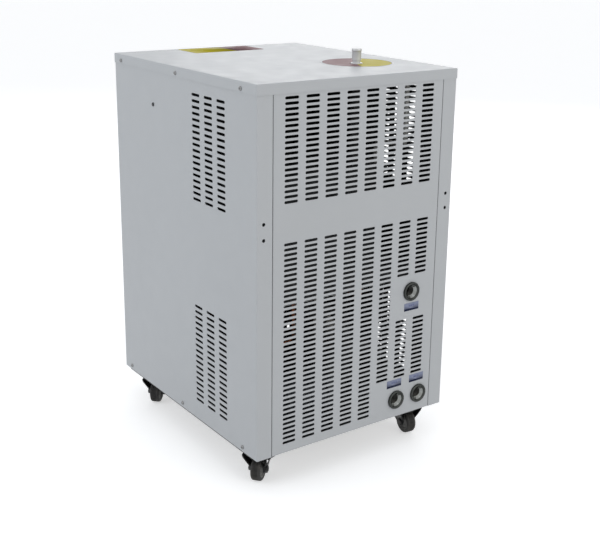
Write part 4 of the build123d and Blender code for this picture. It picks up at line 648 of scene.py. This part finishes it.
def round_ring(bm, share, z):
    """Ring of the round label, a share of the way from its hole to its rim."""
    ring = []
    for i in range(ROUND_SEGMENTS):
        inner = Vector(FILLER) + Vector(around(ROUND_HOLE_R, ROUND_SEGMENTS, i))
        outer = Vector(ROUND_MIDDLE) + Vector(around(ROUND_R, ROUND_SEGMENTS, i))
        ring.append(bm.verts.new((*inner.lerp(outer, share), z)))
    return ring


def round_label():
    """Round film with a dark line, a white rim and two colour fields, open round the filler."""
    bm = bmesh.new()
    rings = [round_ring(bm, 0.0, TOP)]
    rings += [round_ring(bm, share, FILM_TOP) for share in ROUND_SHARES]
    rings.append(round_ring(bm, 1.0, TOP))
    for level, (low, high) in enumerate(zip(rings, rings[1:] + rings[:1])):
        for i in range(ROUND_SEGMENTS):
            j = (i + 1) % ROUND_SEGMENTS
            face = bm.faces.new((low[i], low[j], high[j], high[i]))
            toward = 2 * math.pi * (i + 0.5) / ROUND_SEGMENTS - ROUND_SPLIT
            if level == ROUND_LINE:
                face.material_index = 2
            elif ROUND_LINE < level < len(rings) - 1:
                face.material_index = 3
            else:
                face.material_index = 1 if math.cos(toward) > 0 else 0
    finish_mesh("round_label_print", bm, ["label_yellow", "label_mauve", "label_line", "label_white"],
                "cabinet", ["round_label"])


def corner(x, y, start):
    """Rounded corner of the front label, from an angle in degrees through a quarter turn."""
    angles = [math.radians(start + 90 * i / FRONT_CORNER_STEPS) for i in range(FRONT_CORNER_STEPS + 1)]
    return [(x + FRONT_CORNER_R * math.cos(a), y + FRONT_CORNER_R * math.sin(a)) for a in angles]


def front_label():
    """Rectangular film with rounded corners and two colour fields."""
    bm = bmesh.new()
    end = FRONT_HALF[0] - FRONT_CORNER_R
    far, near = FRONT_Y + FRONT_HALF[1], FRONT_Y - FRONT_HALF[1]
    far_corner, near_corner = far - FRONT_CORNER_R, near + FRONT_CORNER_R
    right = corner(end, far_corner, 0) + [(FRONT_SPLIT, far), (FRONT_SPLIT, near)]
    film(bm, right + corner(end, near_corner, 270), 0)
    left = corner(-end, far_corner, 90) + corner(-end, near_corner, 180)
    film(bm, left + [(FRONT_SPLIT, near), (FRONT_SPLIT, far)], 1)
    finish_mesh("front_label_print", bm, ["label_yellow", "label_mauve"], "cabinet",
                ["front_label"])


def plate(bm, xs, ys, zs, material):
    """A thin box between three pairs of planes."""
    corners = [bm.verts.new((x, y, z)) for z in zs for y in ys for x in xs]
    for quad in ((0, 2, 3, 1), (4, 5, 7, 6), (0, 1, 5, 4), (2, 6, 7, 3), (0, 4, 6, 2), (1, 3, 7, 5)):
        bm.faces.new([corners[i] for i in quad]).material_index = material


def port_labels():
    """Small films beside the ports: a pale field, a navy strip and plain bars."""
    bm = bmesh.new()
    half_w, half_h = PORT_LABEL_HALF
    film_face = REAR + FILM
    for name, (across, up) in PORT_LABEL_PLACES.items():
        x, z = PORTS[name][0] + across, PORTS[name][1] + up
        foot, head = z - half_h, z + half_h
        strip = foot + PORT_STRIP
        for zs, material in (((foot, strip), 1), ((strip, head), 0)):
            plate(bm, (x - half_w, x + half_w), (REAR, film_face), zs, material)
        for i in (-1, 0, 1):
            middle = x + i * PORT_MARK_PITCH
            plate(bm, (middle - PORT_MARK_HALF, middle + PORT_MARK_HALF),
                  (film_face - MARK_LIFT, film_face + MARK_LIFT),
                  (strip + PORT_MARK_RISE[0], strip + PORT_MARK_RISE[1]), 2)
    finish_mesh("port_label_prints", bm, ["label_blue_grey", "label_navy", "label_mark"], "cabinet",
                ["port_labels"])


# Studio, in metres

AIM = (0.0, 0.0, 0.4)
LAMPS = [            # name, place, size, power, colour
    ("top_softbox", (0.6, 0.8, 3.4), 3.0, 12.0, (0.92, 0.95, 1.0)),
    ("side_softbox", (3.2, -0.6, 1.8), 2.4, 24.0, (0.93, 0.97, 1.0)),
    ("rear_softbox", (-0.8, 3.6, 1.6), 2.4, 28.0, (1.0, 0.98, 0.93)),
    ("far_softbox", (-2.6, -2.8, 2.2), 2.6, 30.0, (1.0, 1.0, 1.0))]
FLOOR_SIZE = 60.0
FLOOR_LIFT = 0.5     # glow of the floor in what the camera, mirrors and glass see
SURROUND = (0.93, 0.96, 1.0, 1.0)
SURROUND_LIGHT = 0.56


def seen_directly(tree):
    """1 for what the camera, mirrors and glass see, and 0 for the light that falls on the object."""
    paths = tree.nodes.new("ShaderNodeLightPath")
    seen = paths.outputs["Is Camera Ray"]
    for ray in ("Is Glossy Ray", "Is Transmission Ray"):
        either = tree.nodes.new("ShaderNodeMath")
        either.operation = "MAXIMUM"
        tree.links.new(seen, either.inputs[0])
        tree.links.new(paths.outputs[ray], either.inputs[1])
        seen = either.outputs[0]
    return seen


def make_floor():
    """Pale matt floor that keeps the object's shadow."""
    n = Nodes("floor_white")
    n.colour(n.mix(n.noise(1.5), (0.80, 0.80, 0.80, 1.0), (0.82, 0.82, 0.82, 1.0)))
    n.set(Roughness=0.9, Emission_Color=WHITE)
    n.link(n.maths("MULTIPLY", seen_directly(n.tree), FLOOR_LIFT), n.shader.inputs["Emission Strength"])
    bpy.ops.mesh.primitive_plane_add(size=FLOOR_SIZE, location=(0, 0, 0))
    floor = bpy.context.object
    floor.name = "floor"
    floor.data.materials.append(n.material)


def background(tree, colour, strength):
    """One background of the world."""
    node = tree.nodes.new("ShaderNodeBackground")
    node.inputs["Color"].default_value = colour
    node.inputs["Strength"].default_value = strength
    return node.outputs[0]


def make_world():
    """Soft surrounding light, and plain white where the surround itself is seen."""
    world = bpy.data.worlds.new("world")
    scene.world = world
    world.use_nodes = True
    tree = world.node_tree
    tree.nodes.clear()
    out = tree.nodes.new("ShaderNodeOutputWorld")
    mix = tree.nodes.new("ShaderNodeMixShader")
    tree.links.new(seen_directly(tree), mix.inputs[0])
    tree.links.new(background(tree, SURROUND, SURROUND_LIGHT), mix.inputs[1])
    tree.links.new(background(tree, WHITE, 1.0), mix.inputs[2])
    tree.links.new(mix.outputs[0], out.inputs[0])


def lamp(name, place, size, power, colour):
    """A square soft lamp aimed at the object."""
    data = bpy.data.lights.new(name, "AREA")
    data.size = size
    data.energy = power
    data.color = colour
    light = bpy.data.objects.new(name, data)
    scene.collection.objects.link(light)
    turn = (Vector(AIM) - Vector(place)).to_track_quat("-Z", "Y").to_matrix().to_4x4()
    light.matrix_world = Matrix.Translation(place) @ turn


make_camera()
dress_nodes()
caster_forks()
caster_wheels()
water_ports()
filler_cap()
round_label()
front_label()
port_labels()
make_floor()
make_world()
for entry in LAMPS:
    lamp(*entry)
